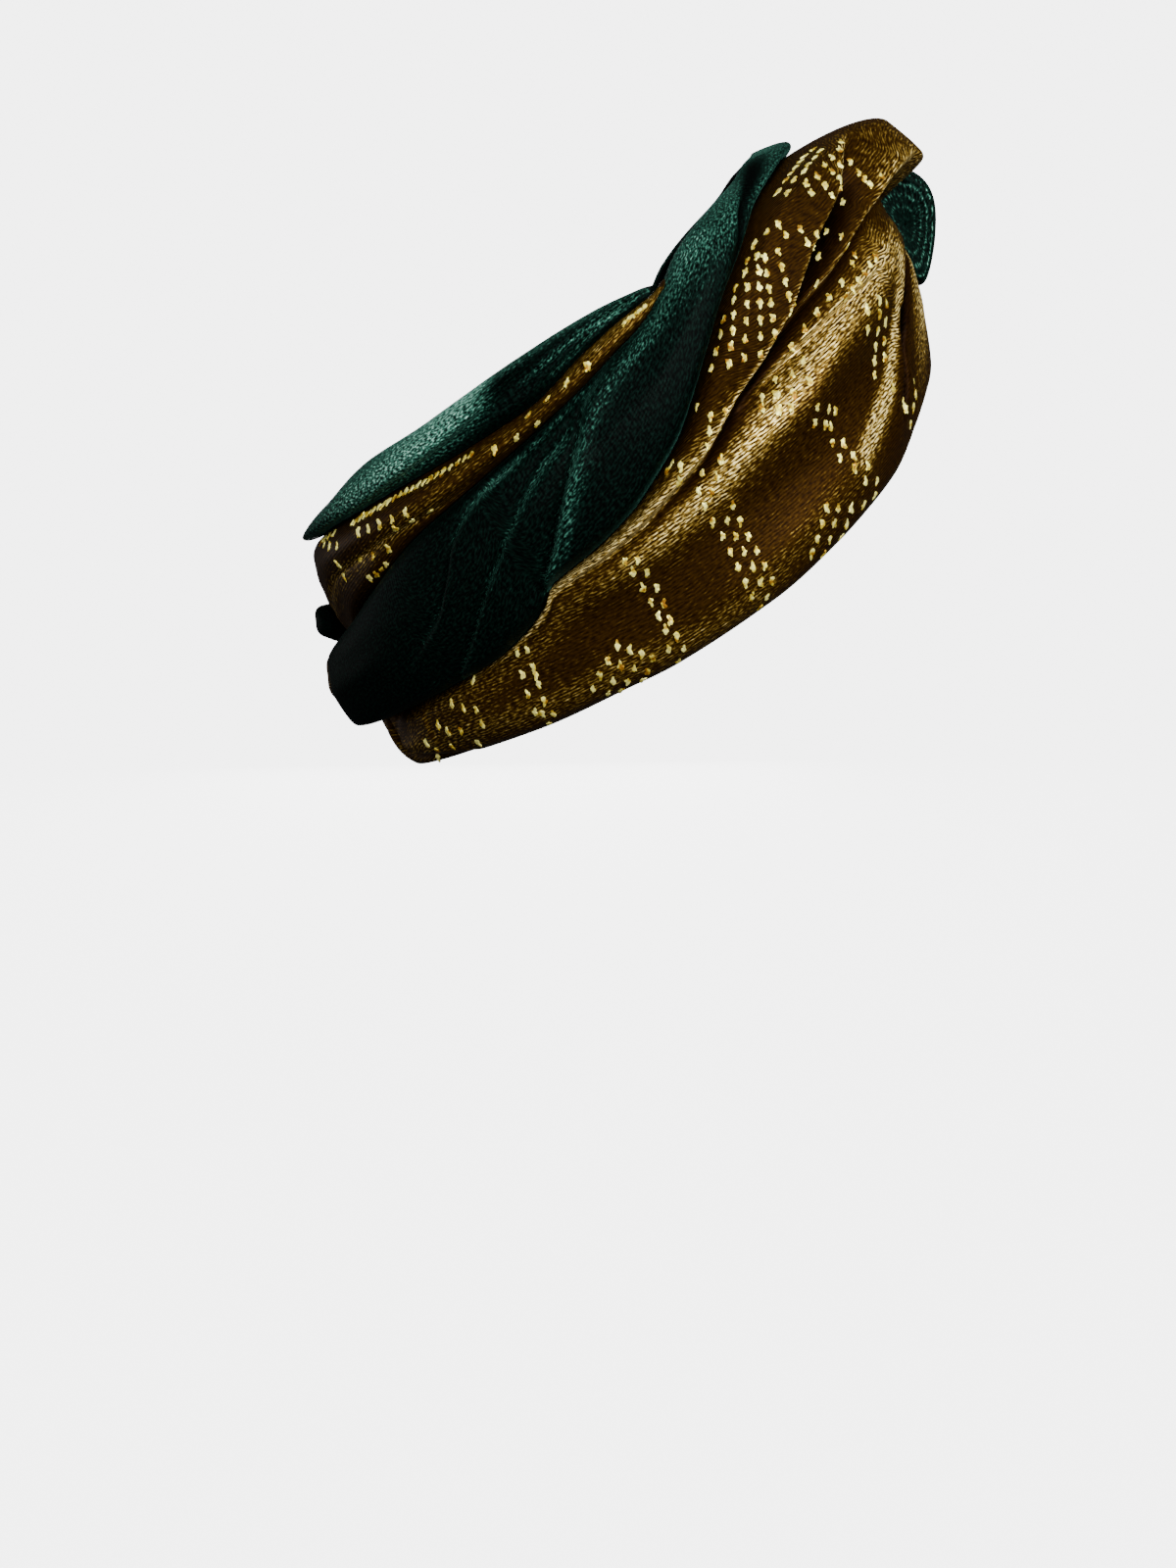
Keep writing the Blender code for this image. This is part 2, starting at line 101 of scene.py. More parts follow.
# At the nape the gold bands run on under the crossing band until they meet
UPPER_GOLD_FOOT = CROSSING_TOP[:-1] + ((165, -0.030), (172, -0.110), (180, -0.130))
LOWER_GOLD_TOP = CROSSING_FOOT[:-3] + ((166, -0.250), (171, -0.100), (175, -0.050), (180, -0.030))
LOWER_RIM = (
    (0, -0.340), (9, -0.350), (20, -0.390), (31, -0.445), (40, -0.498), (51, -0.525), (62, -0.546),
    (80, -0.567), (90, -0.567), (102, -0.562), (113, -0.541), (126, -0.521), (142, -0.490), (160, -0.465),
    (180, -0.450),
)

# How far each band stands off the head, as shares of BAND_LIFT, at five places from its low to its high edge
UPPER_GREEN_LIFT = (
    (66, 0.30, 0.35, 0.35, 0.35, 0.30), (80, 0.45, 0.60, 0.60, 0.55, 0.40),
    (100, 0.60, 0.80, 0.85, 0.75, 0.50), (180, 0.60, 0.75, 0.80, 0.70, 0.50),
)
UPPER_GOLD_LIFT = (
    (66, 0.30, 0.35, 0.35, 0.35, 0.30), (80, 0.50, 0.55, 0.55, 0.55, 0.45),
    (110, 0.55, 0.62, 0.65, 0.60, 0.50), (150, 0.50, 0.60, 0.65, 0.65, 0.55),
    (180, 0.20, 0.35, 0.55, 0.65, 0.55),
)
CROSSING_LIFT = (
    (0, 0.80, 0.85, 0.85, 0.75, 0.45), (30, 0.90, 1.00, 1.00, 0.90, 0.60),
    (60, 0.95, 1.15, 1.20, 1.05, 0.70), (90, 0.85, 1.05, 1.10, 0.95, 0.60),
    (120, 0.95, 1.15, 1.20, 1.05, 0.70), (150, 1.30, 1.60, 1.65, 1.40, 0.95),
    (165, 1.80, 2.08, 2.08, 1.78, 1.30), (180, 1.70, 2.00, 2.00, 1.70, 1.30),
)
LOWER_GOLD_LIFT = (
    (0, 0.50, 0.45, 0.40, 0.60, 2.50), (8, 0.50, 0.60, 0.60, 1.60, 2.90),
    (10.5, 0.50, 0.80, 1.15, 2.42, 3.02), (14, 0.50, 0.82, 1.20, 2.42, 2.94),
    (22, 0.45, 0.90, 1.32, 2.15, 2.45), (35, 0.45, 0.92, 1.35, 1.80, 1.80),
    (50, 0.45, 0.90, 1.15, 1.25, 1.15), (70, 0.50, 0.80, 0.95, 0.95, 0.75),
    (90, 0.50, 0.78, 0.90, 0.80, 0.60), (120, 0.55, 0.80, 0.90, 0.80, 0.60),
    (150, 0.65, 0.85, 0.95, 0.90, 0.80), (172, 1.20, 1.30, 1.25, 0.90, 0.60),
    (180, 1.30, 1.20, 0.80, 0.40, 0.35),
)

# Folds of each band: step, crease and ridge as shares of BAND_LIFT, reach and sharpness in metres,
# then where the fold runs: degrees round the ring, share across the band, strength
LOWER_GOLD_FOLDS = (
    # outer crest, inner crest, under the knot, third crest, satin ridge, valley, low ridge, slit,
    # groove, three ribs below the loop, fold at the nape
    (0.52, 0.26, 0.00, 0.0110, 0.0006, (
        (20, 0.95, 0.0), (28, 0.92, 0.5), (35, 0.86, 0.8), (40, 0.83, 1.0), (46, 0.81, 1.0),
        (53, 0.79, 1.0), (59, 0.77, 1.0), (64, 0.77, 1.0), (71, 0.80, 1.0), (78, 0.82, 0.9),
        (87, 0.87, 0.8), (97, 0.91, 0.6), (112, 0.95, 0.4), (140, 0.99, 0.0))),
    (0.38, 0.28, 0.00, 0.0080, 0.0006, (
        (15, 0.74, 0.0), (24, 0.735, 0.8), (30, 0.725, 1.0), (35, 0.72, 1.0), (45, 0.70, 1.0),
        (51, 0.72, 1.0), (60, 0.75, 0.8), (67, 0.775, 0.3), (71, 0.80, 0.0))),
    (1.00, 0.10, 0.00, 0.0120, 0.0012, (
        (7, 0.665, 1.0), (12, 0.680, 1.0), (19, 0.725, 0.8), (26, 0.735, 0.4), (33, 0.72, 0.0))),
    (0.28, 0.12, 0.00, 0.0080, 0.0007, (
        (22, 0.61, 0.0), (28, 0.60, 0.6), (37, 0.58, 1.0), (45, 0.60, 1.0), (52, 0.63, 1.0),
        (58, 0.66, 1.0), (64, 0.70, 0.8), (69, 0.74, 0.3), (72, 0.78, 0.0))),
    (0.00, 0.00, 0.26, 0.0080, 0.0010, (
        (20, 0.57, 0.5), (27, 0.57, 1.0), (41, 0.53, 1.0), (52, 0.54, 1.0), (59, 0.50, 1.0),
        (66, 0.54, 1.0), (72, 0.60, 1.0), (78, 0.66, 1.0), (89, 0.75, 1.0), (102, 0.86, 1.0),
        (112, 0.92, 0.8), (130, 0.97, 0.0))),
    (0.00, 0.00, -0.30, 0.0110, 0.0010, (
        (32, 0.45, 0.3), (47, 0.35, 1.0), (58, 0.35, 1.0), (72, 0.42, 1.0), (88, 0.53, 1.0),
        (104, 0.54, 1.0), (118, 0.66, 1.0), (133, 0.75, 0.6), (150, 0.80, 0.3))),
    (0.00, 0.00, 0.16, 0.0080, 0.0010, (
        (33, 0.15, 0.6), (54, 0.12, 1.0), (76, 0.14, 1.0), (94, 0.14, 1.0), (109, 0.20, 1.0),
        (124, 0.32, 1.0), (143, 0.40, 1.0), (170, 0.45, 0.5))),
    (0.10, 0.50, 0.00, 0.0060, 0.0014, (
        (18, 0.55, 0.0), (23, 0.48, 1.0), (28, 0.42, 1.0), (34, 0.33, 1.0), (36, 0.22, 0.7),
        (40, 0.15, 0.0))),
    (0.00, 0.00, -0.40, 0.0032, 0.0010, (
        (28, 0.84, 0.0), (35, 0.82, 1.0), (41, 0.795, 1.0), (47, 0.775, 0.6), (55, 0.755, 0.0))),
    (0.04, 0.12, 0.00, 0.0030, 0.0006, (
        (12, 0.60, 0.0), (15, 0.56, 0.8), (20, 0.45, 1.0), (26, 0.33, 1.0), (29, 0.20, 1.0),
        (32, 0.08, 0.5))),
    (0.04, 0.12, 0.00, 0.0030, 0.0006, (
        (8, 0.58, 0.0), (11, 0.54, 0.8), (15, 0.42, 1.0), (21, 0.30, 1.0), (24, 0.18, 1.0),
        (26, 0.06, 0.5))),
    (0.04, 0.12, 0.00, 0.0030, 0.0006, (
        (4, 0.56, 0.0), (7, 0.50, 0.8), (11, 0.38, 1.0), (15, 0.26, 1.0), (18, 0.14, 1.0),
        (20, 0.04, 0.5))),
    (0.10, 0.40, 0.00, 0.0050, 0.0012, (
        (146, 0.02, 0.5), (155, 0.16, 1.0), (163, 0.38, 1.0), (169, 0.62, 0.6), (174, 0.80, 0.0))),
)
CROSSING_FOLDS = (
    # main, second, third, upper and low pleats, crease at the front
    (-0.36, 0.20, 0.00, 0.0110, 0.0007, (
        (80, 1.02, 0.0), (86, 0.96, 0.6), (90, 0.90, 1.0), (94, 0.72, 1.0), (100, 0.49, 1.0),
        (108, 0.15, 1.0), (112, 0.02, 1.0), (116, -0.20, 1.0))),
    (-0.18, 0.24, 0.00, 0.0080, 0.0008, (
        (92, 0.90, 0.0), (96, 0.80, 0.8), (100, 0.77, 1.0), (105, 0.68, 1.0), (111, 0.53, 1.0),
        (118, 0.41, 1.0), (126, 0.22, 1.0), (136, 0.00, 0.8), (140, -0.10, 0.0))),
    (-0.14, 0.20, 0.00, 0.0070, 0.0008, (
        (102, 0.93, 0.0), (106, 0.92, 0.6), (110, 0.92, 1.0), (115, 0.89, 1.0), (120, 0.80, 1.0),
        (123, 0.67, 1.0), (128, 0.51, 0.8), (134, 0.40, 0.3), (140, 0.30, 0.0))),
    (-0.05, 0.10, 0.00, 0.0040, 0.0007, (
        (86, 0.98, 0.0), (90, 0.97, 0.8), (97, 0.94, 1.0), (105, 0.92, 1.0), (112, 0.92, 0.6),
        (120, 0.93, 0.0))),
    (-0.05, 0.08, 0.00, 0.0060, 0.0010, (
        (98, 0.36, 0.0), (103, 0.29, 0.8), (110, 0.12, 1.0), (114, 0.10, 0.8), (118, 0.07, 0.0))),
    (0.00, 0.34, 0.00, 0.0050, 0.0011, (
        (24, 0.90, 0.3), (36, 0.71, 1.0), (49, 0.44, 0.9), (54, 0.24, 0.5), (61, 0.14, 0.0))),
)
UPPER_GREEN_FOLDS = (
    (0.30, 0.10, 0.00, 0.0060, 0.0006, (
        (92, 0.90, 0.0), (98, 0.80, 1.0), (103, 0.70, 1.0), (107, 0.48, 1.0), (115, 0.36, 1.0),
        (123, 0.30, 0.6), (135, 0.20, 0.0))),
    (0.05, 0.18, 0.00, 0.0040, 0.0006, (
        (70, 0.50, 0.5), (75, 0.49, 1.0), (82, 0.57, 1.0), (91, 0.53, 1.0), (99, 0.51, 0.0))),
    (0.05, 0.15, 0.00, 0.0040, 0.0006, (
        (74, 0.36, 0.5), (80, 0.35, 1.0), (88, 0.22, 1.0), (96, 0.20, 0.0))),
)
UPPER_GOLD_FOLDS = (
    (0.00, 0.00, 0.18, 0.0035, 0.0010, (
        (70, 0.40, 0.5), (77, 0.43, 1.0), (92, 0.30, 1.0), (103, 0.34, 1.0), (119, 0.50, 1.0),
        (135, 0.66, 1.0), (150, 0.72, 0.6), (180, 0.75, 0.2))),
    (0.12, 0.12, 0.00, 0.0040, 0.0006, (
        (110, 0.05, 0.0), (122, 0.20, 1.0), (135, 0.38, 1.0), (150, 0.50, 0.6), (180, 0.55, 0.1))),
)

# Painted light and shade in the cloth's colour: its even level elsewhere, then for each line how strong its
# painted highlight (above 0) or painted shade (below 0) is, its reach above and below in metres, and where it
# runs, as for a fold
LOWER_GOLD_PAINTED_LIGHT = (0.16, (
    (1.50, 0.0015, 0.0010, LOWER_GOLD_FOLDS[0][-1]), (-1.00, 0.0004, 0.0040, LOWER_GOLD_FOLDS[0][-1]),
    (1.20, 0.0014, 0.0010, LOWER_GOLD_FOLDS[1][-1]), (-0.80, 0.0004, 0.0022, LOWER_GOLD_FOLDS[1][-1]),
    (0.90, 0.0013, 0.0010, LOWER_GOLD_FOLDS[3][-1]), (0.40, 0.0040, 0.0008, LOWER_GOLD_FOLDS[2][-1]),
    (0.72, 0.0065, 0.0060, (
        (17, 0.60, 0.0), (24, 0.58, 0.4), (32, 0.56, 0.9), (44, 0.57, 1.0), (55, 0.58, 1.0),
        (64, 0.59, 1.0), (71, 0.63, 1.0), (78, 0.68, 1.1), (88, 0.76, 1.1), (97, 0.83, 0.9),
        (106, 0.88, 0.7), (125, 0.90, 0.5), (160, 0.95, 0.4))),
    (0.45, 0.0035, 0.0012, (
        (68, 0.83, 0.0), (74, 0.84, 0.6), (79, 0.86, 1.0), (85, 0.89, 1.0), (92, 0.93, 0.9),
        (102, 0.95, 0.8), (109, 0.96, 0.6), (125, 0.97, 0.2))),
    (0.34, 0.0050, 0.0070, (
        (45, 0.16, 0.0), (53, 0.16, 0.5), (67, 0.15, 0.6), (79, 0.13, 0.8), (92, 0.10, 1.0),
        (105, 0.18, 1.0), (116, 0.23, 1.0), (131, 0.36, 1.0), (154, 0.45, 1.0), (180, 0.50, 0.5))),
    (1.35, 0.0032, 0.0040, (
        (24, 0.56, 0.0), (30, 0.48, 0.6), (37, 0.36, 0.8), (42, 0.27, 1.0), (49, 0.22, 0.9),
        (56, 0.18, 0.0))),
    (0.26, 0.0080, 0.0080, (
        (0, 0.82, 0.6), (6, 0.82, 0.8), (15, 0.85, 1.0), (22, 0.90, 0.9), (28, 0.90, 0.9), (33, 0.88, 0.8),
        (40, 0.90, 0.0))),
    (0.30, 0.0040, 0.0060, (
        (12, 0.78, 0.0), (18, 0.78, 0.6), (24, 0.78, 1.0), (29, 0.75, 1.0), (33, 0.68, 1.0),
        (40, 0.65, 0.0))),
    (-0.70, 0.0030, 0.0030, LOWER_GOLD_FOLDS[8][-1]), (-0.60, 0.0012, 0.0016, LOWER_GOLD_FOLDS[12][-1]),
    (1.10, 0.0130, 0.0130, (
        (3, 0.42, 0.5), (8, 0.41, 0.9), (14, 0.38, 1.0), (20, 0.31, 0.8), (26, 0.24, 0.4),
        (32, 0.16, 0.0))),
    (-1.50, 0.0030, 0.0034, LOWER_GOLD_FOLDS[7][-1]), (0.85, 0.0012, 0.0009, LOWER_GOLD_FOLDS[9][-1]),
    (0.85, 0.0012, 0.0009, LOWER_GOLD_FOLDS[10][-1]), (0.85, 0.0012, 0.0009, LOWER_GOLD_FOLDS[11][-1]),
    (-0.50, 0.0006, 0.0014, LOWER_GOLD_FOLDS[9][-1]), (-0.50, 0.0006, 0.0014, LOWER_GOLD_FOLDS[10][-1]),
))
CROSSING_PAINTED_LIGHT = (0.04, (
    (0.44, 0.0080, 0.0065, (
        (0, 0.70, 0.7), (20, 0.70, 0.8), (37, 0.68, 0.9), (50, 0.76, 1.0), (58, 0.74, 0.8), (64, 0.74, 0.5),
        (70, 0.78, 0.25), (78, 0.82, 0.10), (84, 0.85, 0.0))),
    (0.34, 0.0028, 0.0024, (
        (55, 0.90, 0.3), (62, 0.91, 1.0), (70, 0.92, 1.0), (77, 0.89, 1.0), (85, 0.84, 0.9),
        (91, 0.74, 0.8), (96, 0.60, 0.7), (100, 0.38, 0.6), (104, 0.19, 0.5), (110, 0.03, 0.3))),
    (0.42, 0.0012, 0.0010, (
        (36, 0.10, 0.6), (46, 0.07, 0.9), (56, 0.04, 1.0), (63, 0.03, 1.0), (75, 0.02, 0.9),
        (88, 0.02, 0.7), (98, 0.02, 0.3), (110, 0.02, 0.0))),
    (0.34, 0.0012, 0.0014, CROSSING_FOLDS[0][-1]), (0.42, 0.0011, 0.0018, CROSSING_FOLDS[1][-1]),
    (0.34, 0.0010, 0.0016, CROSSING_FOLDS[2][-1]), (0.34, 0.0010, 0.0010, CROSSING_FOLDS[3][-1]),
    (0.24, 0.0045, 0.0030, (
        (92, 0.60, 0.0), (98, 0.44, 1.0), (104, 0.26, 1.0), (110, 0.10, 0.8), (114, 0.05, 0.0))),
    (-0.60, 0.0012, 0.0012, CROSSING_FOLDS[5][-1]),
))
UPPER_GREEN_PAINTED_LIGHT = (0.04, (
    (0.85, 0.0060, 0.0055, (
        (100, 0.96, 0.0), (106, 0.80, 0.9), (112, 0.72, 1.0), (120, 0.64, 1.0), (130, 0.56, 0.9),
        (140, 0.48, 0.8), (152, 0.45, 0.5), (170, 0.45, 0.3), (180, 0.45, 0.3))),
    (0.40, 0.0010, 0.0010, UPPER_GREEN_FOLDS[1][-1]), (0.35, 0.0010, 0.0010, UPPER_GREEN_FOLDS[2][-1]),
    (0.40, 0.0014, 0.0012, (
        (70, 0.97, 0.6), (80, 0.93, 1.0), (92, 0.93, 1.0), (104, 0.95, 0.8), (120, 0.96, 0.3),
        (135, 0.96, 0.0))),
))
UPPER_GOLD_PAINTED_LIGHT = (0.18, (
    (0.40, 0.0032, 0.0032, (
        (68, 0.90, 1.0), (76, 0.83, 1.0), (83, 0.76, 0.9), (91, 0.74, 0.7), (98, 0.66, 0.5),
        (107, 0.55, 0.5), (118, 0.47, 0.6), (133, 0.36, 0.6), (150, 0.45, 0.7), (180, 0.50, 0.6))),
    (0.30, 0.0010, 0.0010, UPPER_GOLD_FOLDS[1][-1]),
))
# Each band's table of painted light and shade
PAINTED_LIGHTS = {
    "upper_green": UPPER_GREEN_PAINTED_LIGHT, "upper_gold": UPPER_GOLD_PAINTED_LIGHT, "crossing_green": CROSSING_PAINTED_LIGHT,
    "lower_gold": LOWER_GOLD_PAINTED_LIGHT,
}

# Soft undulations: waves to a centimetre across the band, waves along it and height in metres
WRINKLES = (
    (1.6, 1.9, 0.00035), (3.1, 3.3, 0.00018), (6.3, 5.7, 0.00006),
)
CENTIMETRE = 0.01
SWAY_REACH = 1.4
SECOND_SWAY = 0.6
SECOND_SWAY_WAVES = 2.3
WRINKLE_SHIFT = 1.7

# How folds and rounded ends are cut: a crease's half width in its sharpness, and how far an end closes
CREASE_WIDTH = 1.6
END_FALL = 0.97

# The shares of the bands' points that crowd to the edges and the ends, and how many lie inside
EDGE_CROWDING = 0.30
END_CROWDING = 0.12
INSIDE_POINTS = 12

# Rows of foil dots: start and end as degrees and share across, and how many dots
DOT_ROWS = {
    "lower_gold": (
        (40.8, 1.000, 41.8, 0.970, 2), (37.2, 1.000, 40.5, 0.920, 4), (35.0, 1.000, 39.2, 0.870, 5),
        (32.8, 1.000, 35.5, 0.880, 5), (30.0, 1.000, 33.8, 0.875, 5), (27.8, 1.000, 31.0, 0.875, 5),
        (25.8, 0.980, 27.8, 0.880, 4), (51.8, 0.915, 58.0, 0.785, 5), (54.0, 0.945, 63.5, 0.770, 7),
        (52.5, 0.995, 65.2, 0.810, 8), (55.2, 1.000, 67.0, 0.860, 7), (59.8, 0.990, 69.0, 0.910, 6),
        (64.5, 0.980, 71.0, 0.970, 4), (48.2, 0.950, 49.0, 0.915, 2), (46.8, 0.885, 48.0, 0.845, 2),
        (46.0, 0.835, 47.5, 0.800, 2), (52.0, 1.000, 50.0, 0.970, 2), (75.8, 0.900, 78.8, 0.855, 3),
        (73.8, 0.845, 75.2, 0.810, 2), (84.2, 1.000, 85.5, 0.985, 2), (83.5, 0.930, 85.0, 0.885, 2),
        (76.2, 0.985, 76.2, 0.985, 1), (40.5, 0.815, 44.2, 0.760, 3), (39.2, 0.785, 40.5, 0.715, 3),
        (28.8, 0.835, 29.8, 0.785, 3), (31.8, 0.845, 33.5, 0.805, 2), (27.5, 0.780, 26.5, 0.720, 2),
        (44.0, 0.650, 58.0, 0.680, 5), (49.0, 0.725, 54.0, 0.760, 2), (38.5, 0.670, 40.0, 0.660, 2),
        (36.8, 0.615, 45.8, 0.615, 6), (39.5, 0.510, 43.8, 0.340, 6), (37.5, 0.475, 40.2, 0.350, 4),
        (43.2, 0.525, 44.5, 0.480, 2), (57.2, 0.610, 58.8, 0.555, 2), (60.2, 0.615, 62.2, 0.575, 2),
        (62.5, 0.660, 65.5, 0.595, 3), (66.2, 0.680, 67.5, 0.660, 2), (67.5, 0.665, 67.5, 0.665, 1),
        (64.5, 0.635, 65.8, 0.600, 2), (62.2, 0.580, 63.8, 0.560, 2), (59.5, 0.465, 60.5, 0.430, 2),
        (56.8, 0.415, 58.2, 0.385, 2), (55.2, 0.385, 57.2, 0.360, 2), (58.0, 0.315, 56.0, 0.280, 2),
        (57.8, 0.255, 54.2, 0.115, 3), (55.2, 0.220, 50.5, 0.075, 3), (50.8, 0.035, 50.8, 0.035, 1),
        (64.5, 0.165, 70.2, 0.070, 4), (62.2, 0.125, 66.8, 0.020, 4), (59.0, 0.085, 61.5, 0.005, 3),
        (55.0, 0.045, 55.0, 0.045, 1), (77.5, 0.735, 81.5, 0.690, 3), (81.0, 0.790, 83.0, 0.755, 2),
        (83.5, 0.675, 83.8, 0.580, 2), (83.5, 0.480, 84.8, 0.115, 5), (81.5, 0.515, 82.2, 0.055, 6),
        (79.5, 0.545, 80.0, 0.115, 6), (84.2, 0.010, 84.2, 0.005, 1), (96.8, 0.765, 96.8, 0.660, 2),
        (98.5, 0.815, 98.5, 0.725, 2), (98.8, 0.595, 99.5, 0.280, 4), (97.0, 0.535, 99.2, 0.095, 5),
        (101.0, 0.155, 101.5, 0.030, 2), (107.2, 0.370, 115.0, 0.190, 4), (106.0, 0.300, 114.2, 0.075, 4),
        (104.8, 0.230, 112.5, 0.015, 4), (104.0, 0.160, 108.5, 0.015, 3), (123.2, 0.915, 127.2, 0.080, 5),
        (121.0, 0.865, 124.0, 0.175, 5), (122.0, 0.615, 125.5, 0.235, 2), (135.0, 0.995, 153.2, 0.505, 4),
        (138.8, 0.715, 159.2, 0.160, 4), (136.2, 0.635, 154.0, 0.160, 4), (136.8, 0.440, 146.8, 0.020, 3),
        (37.0, 0.185, 37.8, 0.155, 2), (33.2, 0.145, 36.0, 0.090, 3), (40.8, 0.255, 37.5, 0.160, 2),
        (32.8, 0.170, 31.5, 0.125, 2),
    ),
    "upper_gold": (
        (142.2, 0.985, 110.2, 0.800, 22), (138.5, 0.755, 125.5, 0.530, 5), (159.8, 1.000, 150.8, 0.970, 4),
        (155.2, 0.895, 147.0, 0.790, 3), (129.8, 0.380, 122.2, 0.220, 3), (144.0, 0.440, 134.8, 0.210, 3),
        (143.5, 0.135, 138.2, 0.000, 4), (149.8, 0.585, 152.0, 0.420, 2), (105.8, 0.495, 98.0, 0.120, 3),
        (98.5, 1.000, 86.5, 0.505, 4), (77.5, 1.000, 73.2, 1.000, 5), (90.5, 0.645, 86.2, 0.490, 2),
    ),
}

# What shapes each band: its edge above, edge below, lift and folds, and its inside's layer gaps off the head
BAND_SHAPES = {
    "upper_green": (UPPER_RIM, UPPER_SEAM, UPPER_GREEN_LIFT, UPPER_GREEN_FOLDS, 0),
    "upper_gold": (UPPER_SEAM, UPPER_GOLD_FOOT, UPPER_GOLD_LIFT, UPPER_GOLD_FOLDS, 1),
    "crossing_green": (CROSSING_TOP, CROSSING_FOOT, CROSSING_LIFT, CROSSING_FOLDS, 0),
    "lower_gold": (LOWER_GOLD_TOP, LOWER_RIM, LOWER_GOLD_LIFT, LOWER_GOLD_FOLDS, 2),
}
BANDS = (
    # node, cloth, start and end degrees, stations, points across, rounded ends, cloth width on the inside
    ("upper_green_band", "green", 68, 292, 420, 44, 3, 3, 0.045),
    ("upper_gold_band", "gold", 66, 294, 420, 44, 4, 4, 0.045),
    ("crossing_green_band", "green", -174, 174, 620, 90, 9, 9, 0.085),
    ("lower_gold_band_right", "gold", -0.06, 180.02, 380, 230, 0, 0, 0.120),
    ("lower_gold_band_left", "gold", -180.02, 0.06, 380, 180, 0, 0, 0.120),
)

# The even level of painted light on the small pieces, on the same scale as the bands' painted light
SMALL_PIECE_PAINTED_LIGHT = {"green": 0.06, "gold": 0.34}

# How strong the grain is where no light is painted and where a painted highlight is, its bright specks there
# being painted glints
PLAIN_GRAIN = 0.30
PAINTED_HIGHLIGHT_GRAIN = 1.25

# Foil dots: sizes in metres, how they lie on the cloth and how uneven they are
DOT_LENGTH = 0.0034
DOT_WIDTH = 0.0024
DOT_SIDES = 16
DOT_SEED = 7
DOT_LEAN = np.array([-0.15, 0.0, 1.0])
DOT_INSET = 0.0014
DOT_STEP_AROUND = 0.25
DOT_STEP_ACROSS = 0.012
DOT_ROUNDNESS = 0.62
DOT_STRETCH = 0.24
DOT_LOBE_DEPTH = 0.14
DOT_PHASES = 6.3
DOT_TILT = 0.16
DOT_SIZES = (0.85, 1.12)
DOT_BUMPS = (-0.00005, 0.00009)
DOT_TOPS = (0.00020, 0.00034)
DOT_BOTTOM = 0.0005
DOT_RINGS = (
    # share of the radius, rise in metres
    (1.00, -0.00040), (0.96, 0.00014), (0.55, 0.00026),
)
FARTHER_OUT = np.array([0.6, 1.0, 1.0])

# Front knot: its middle as shares of half the head's length and of the ring's height
KNOT_FORWARD = 1.117
KNOT_UP = 0.072
KNOT_LEAN = 0.60
OVAL_ROUNDNESS = 0.85

# Gather: points round it and along it, its pleats and how it narrows to a neck at each end
GATHER_POINTS = 240
GATHER_STATIONS = 61
GATHER_PLEATS = 7
GATHER_PLEAT_DEPTH = 0.16
GATHER_TWIST = 1.3
GATHER_UNEVEN = 0.6
GATHER_SPAN = 0.76
NECK_DEPTH = 0.84
NECK_START = 0.40
NECK_LENGTH = 0.25

# Loop: points over its crown, down its sides and round it, its crown's swell and its sides' fine rounds;
# the even painted light of its crown and sides, and painted highlights in arcs over the rounds
LOOP_CROWN_POINTS = 61
LOOP_SIDE_POINTS = 34
LOOP_STATIONS = 300
CROWN_FALL = 0.97
SIDE_DISH = 0.10
ROUND_HEIGHT = 0.012
ROUND_WAVES = 40
ROUND_FADE = 2.5
ROUND_SWAY = 0.8
RIM_DEPTH = 0.75
RIM_HEIGHT = 0.88
LOOP_INSIDE = 0.78
INSIDE_DEPTH = 0.70
INSIDE_HEIGHT = 0.82
CROWN_PAINTED_LIGHT = 0.20
SIDE_PAINTED_LIGHT = 0.16
ARC_PAINTED_HIGHLIGHT = 0.60
ARC_WAVES = 14
ARC_SHIFT = 0.3
ARC_SHARPNESS = 8

# Nape rolls: middle and half sizes as shares of half the head's length, ring's height and knot's width
BACK_ROLLS = {
    # name: along, up, half depth, half height, half width
    "back_knot_gold": (-1.146, -0.100, 0.092, 0.108, 1.00),
    "back_knot_green": (-1.094, 0.088, 0.058, 0.066, 1.10),
}
ROLL_STATIONS = 61
ROLL_POINTS = 120
ROLL_CREASES = 5
ROLL_CREASE_DEPTH = 0.10
ROLL_SWAY = 0.8

# How far the cloth runs round each small piece, in metres for a radian
GATHER_RUN = 0.020
LOOP_RUN = 0.015
ROLL_RUN = 0.009

# Colours from dark to light: place on the ramp, then red, green and blue. The cloths' ramps are fed by grain
# and painted light, so their dark stops give painted shade and their light stops painted highlights and
# glints; the foil's is its own tone
VELVET_TONE_AND_PAINTED_LIGHT = (
    (0.49, (0.0001, 0.0006, 0.0004)), (0.59, (0.0020, 0.0100, 0.0070)), (0.72, (0.0360, 0.1350, 0.0950)),
    (0.86, (0.30, 0.60, 0.47)),
)
BROCADE_TONE_AND_PAINTED_LIGHT = (
    (0.37, (0.0010, 0.0003, 0.0001)), (0.51, (0.0100, 0.0036, 0.0004)), (0.65, (0.0340, 0.0150, 0.0014)),
    (0.78, (0.26, 0.165, 0.028)), (0.90, (0.96, 0.76, 0.29)),
)
FOIL_COLOURS = (
    (0.34, (0.30, 0.13, 0.01)), (0.43, (0.66, 0.50, 0.04)), (0.57, (1.00, 0.93, 0.26)),
)

# How much the painted light and the ribs move the colour, and the depth of the grain's relief
VELVET_PAINTED_LIGHT_SHIFT = 0.22
BROCADE_PAINTED_LIGHT_SHIFT = 0.19
RIB_SHARE = 0.13
RELIEF_DEPTH = 0.00009

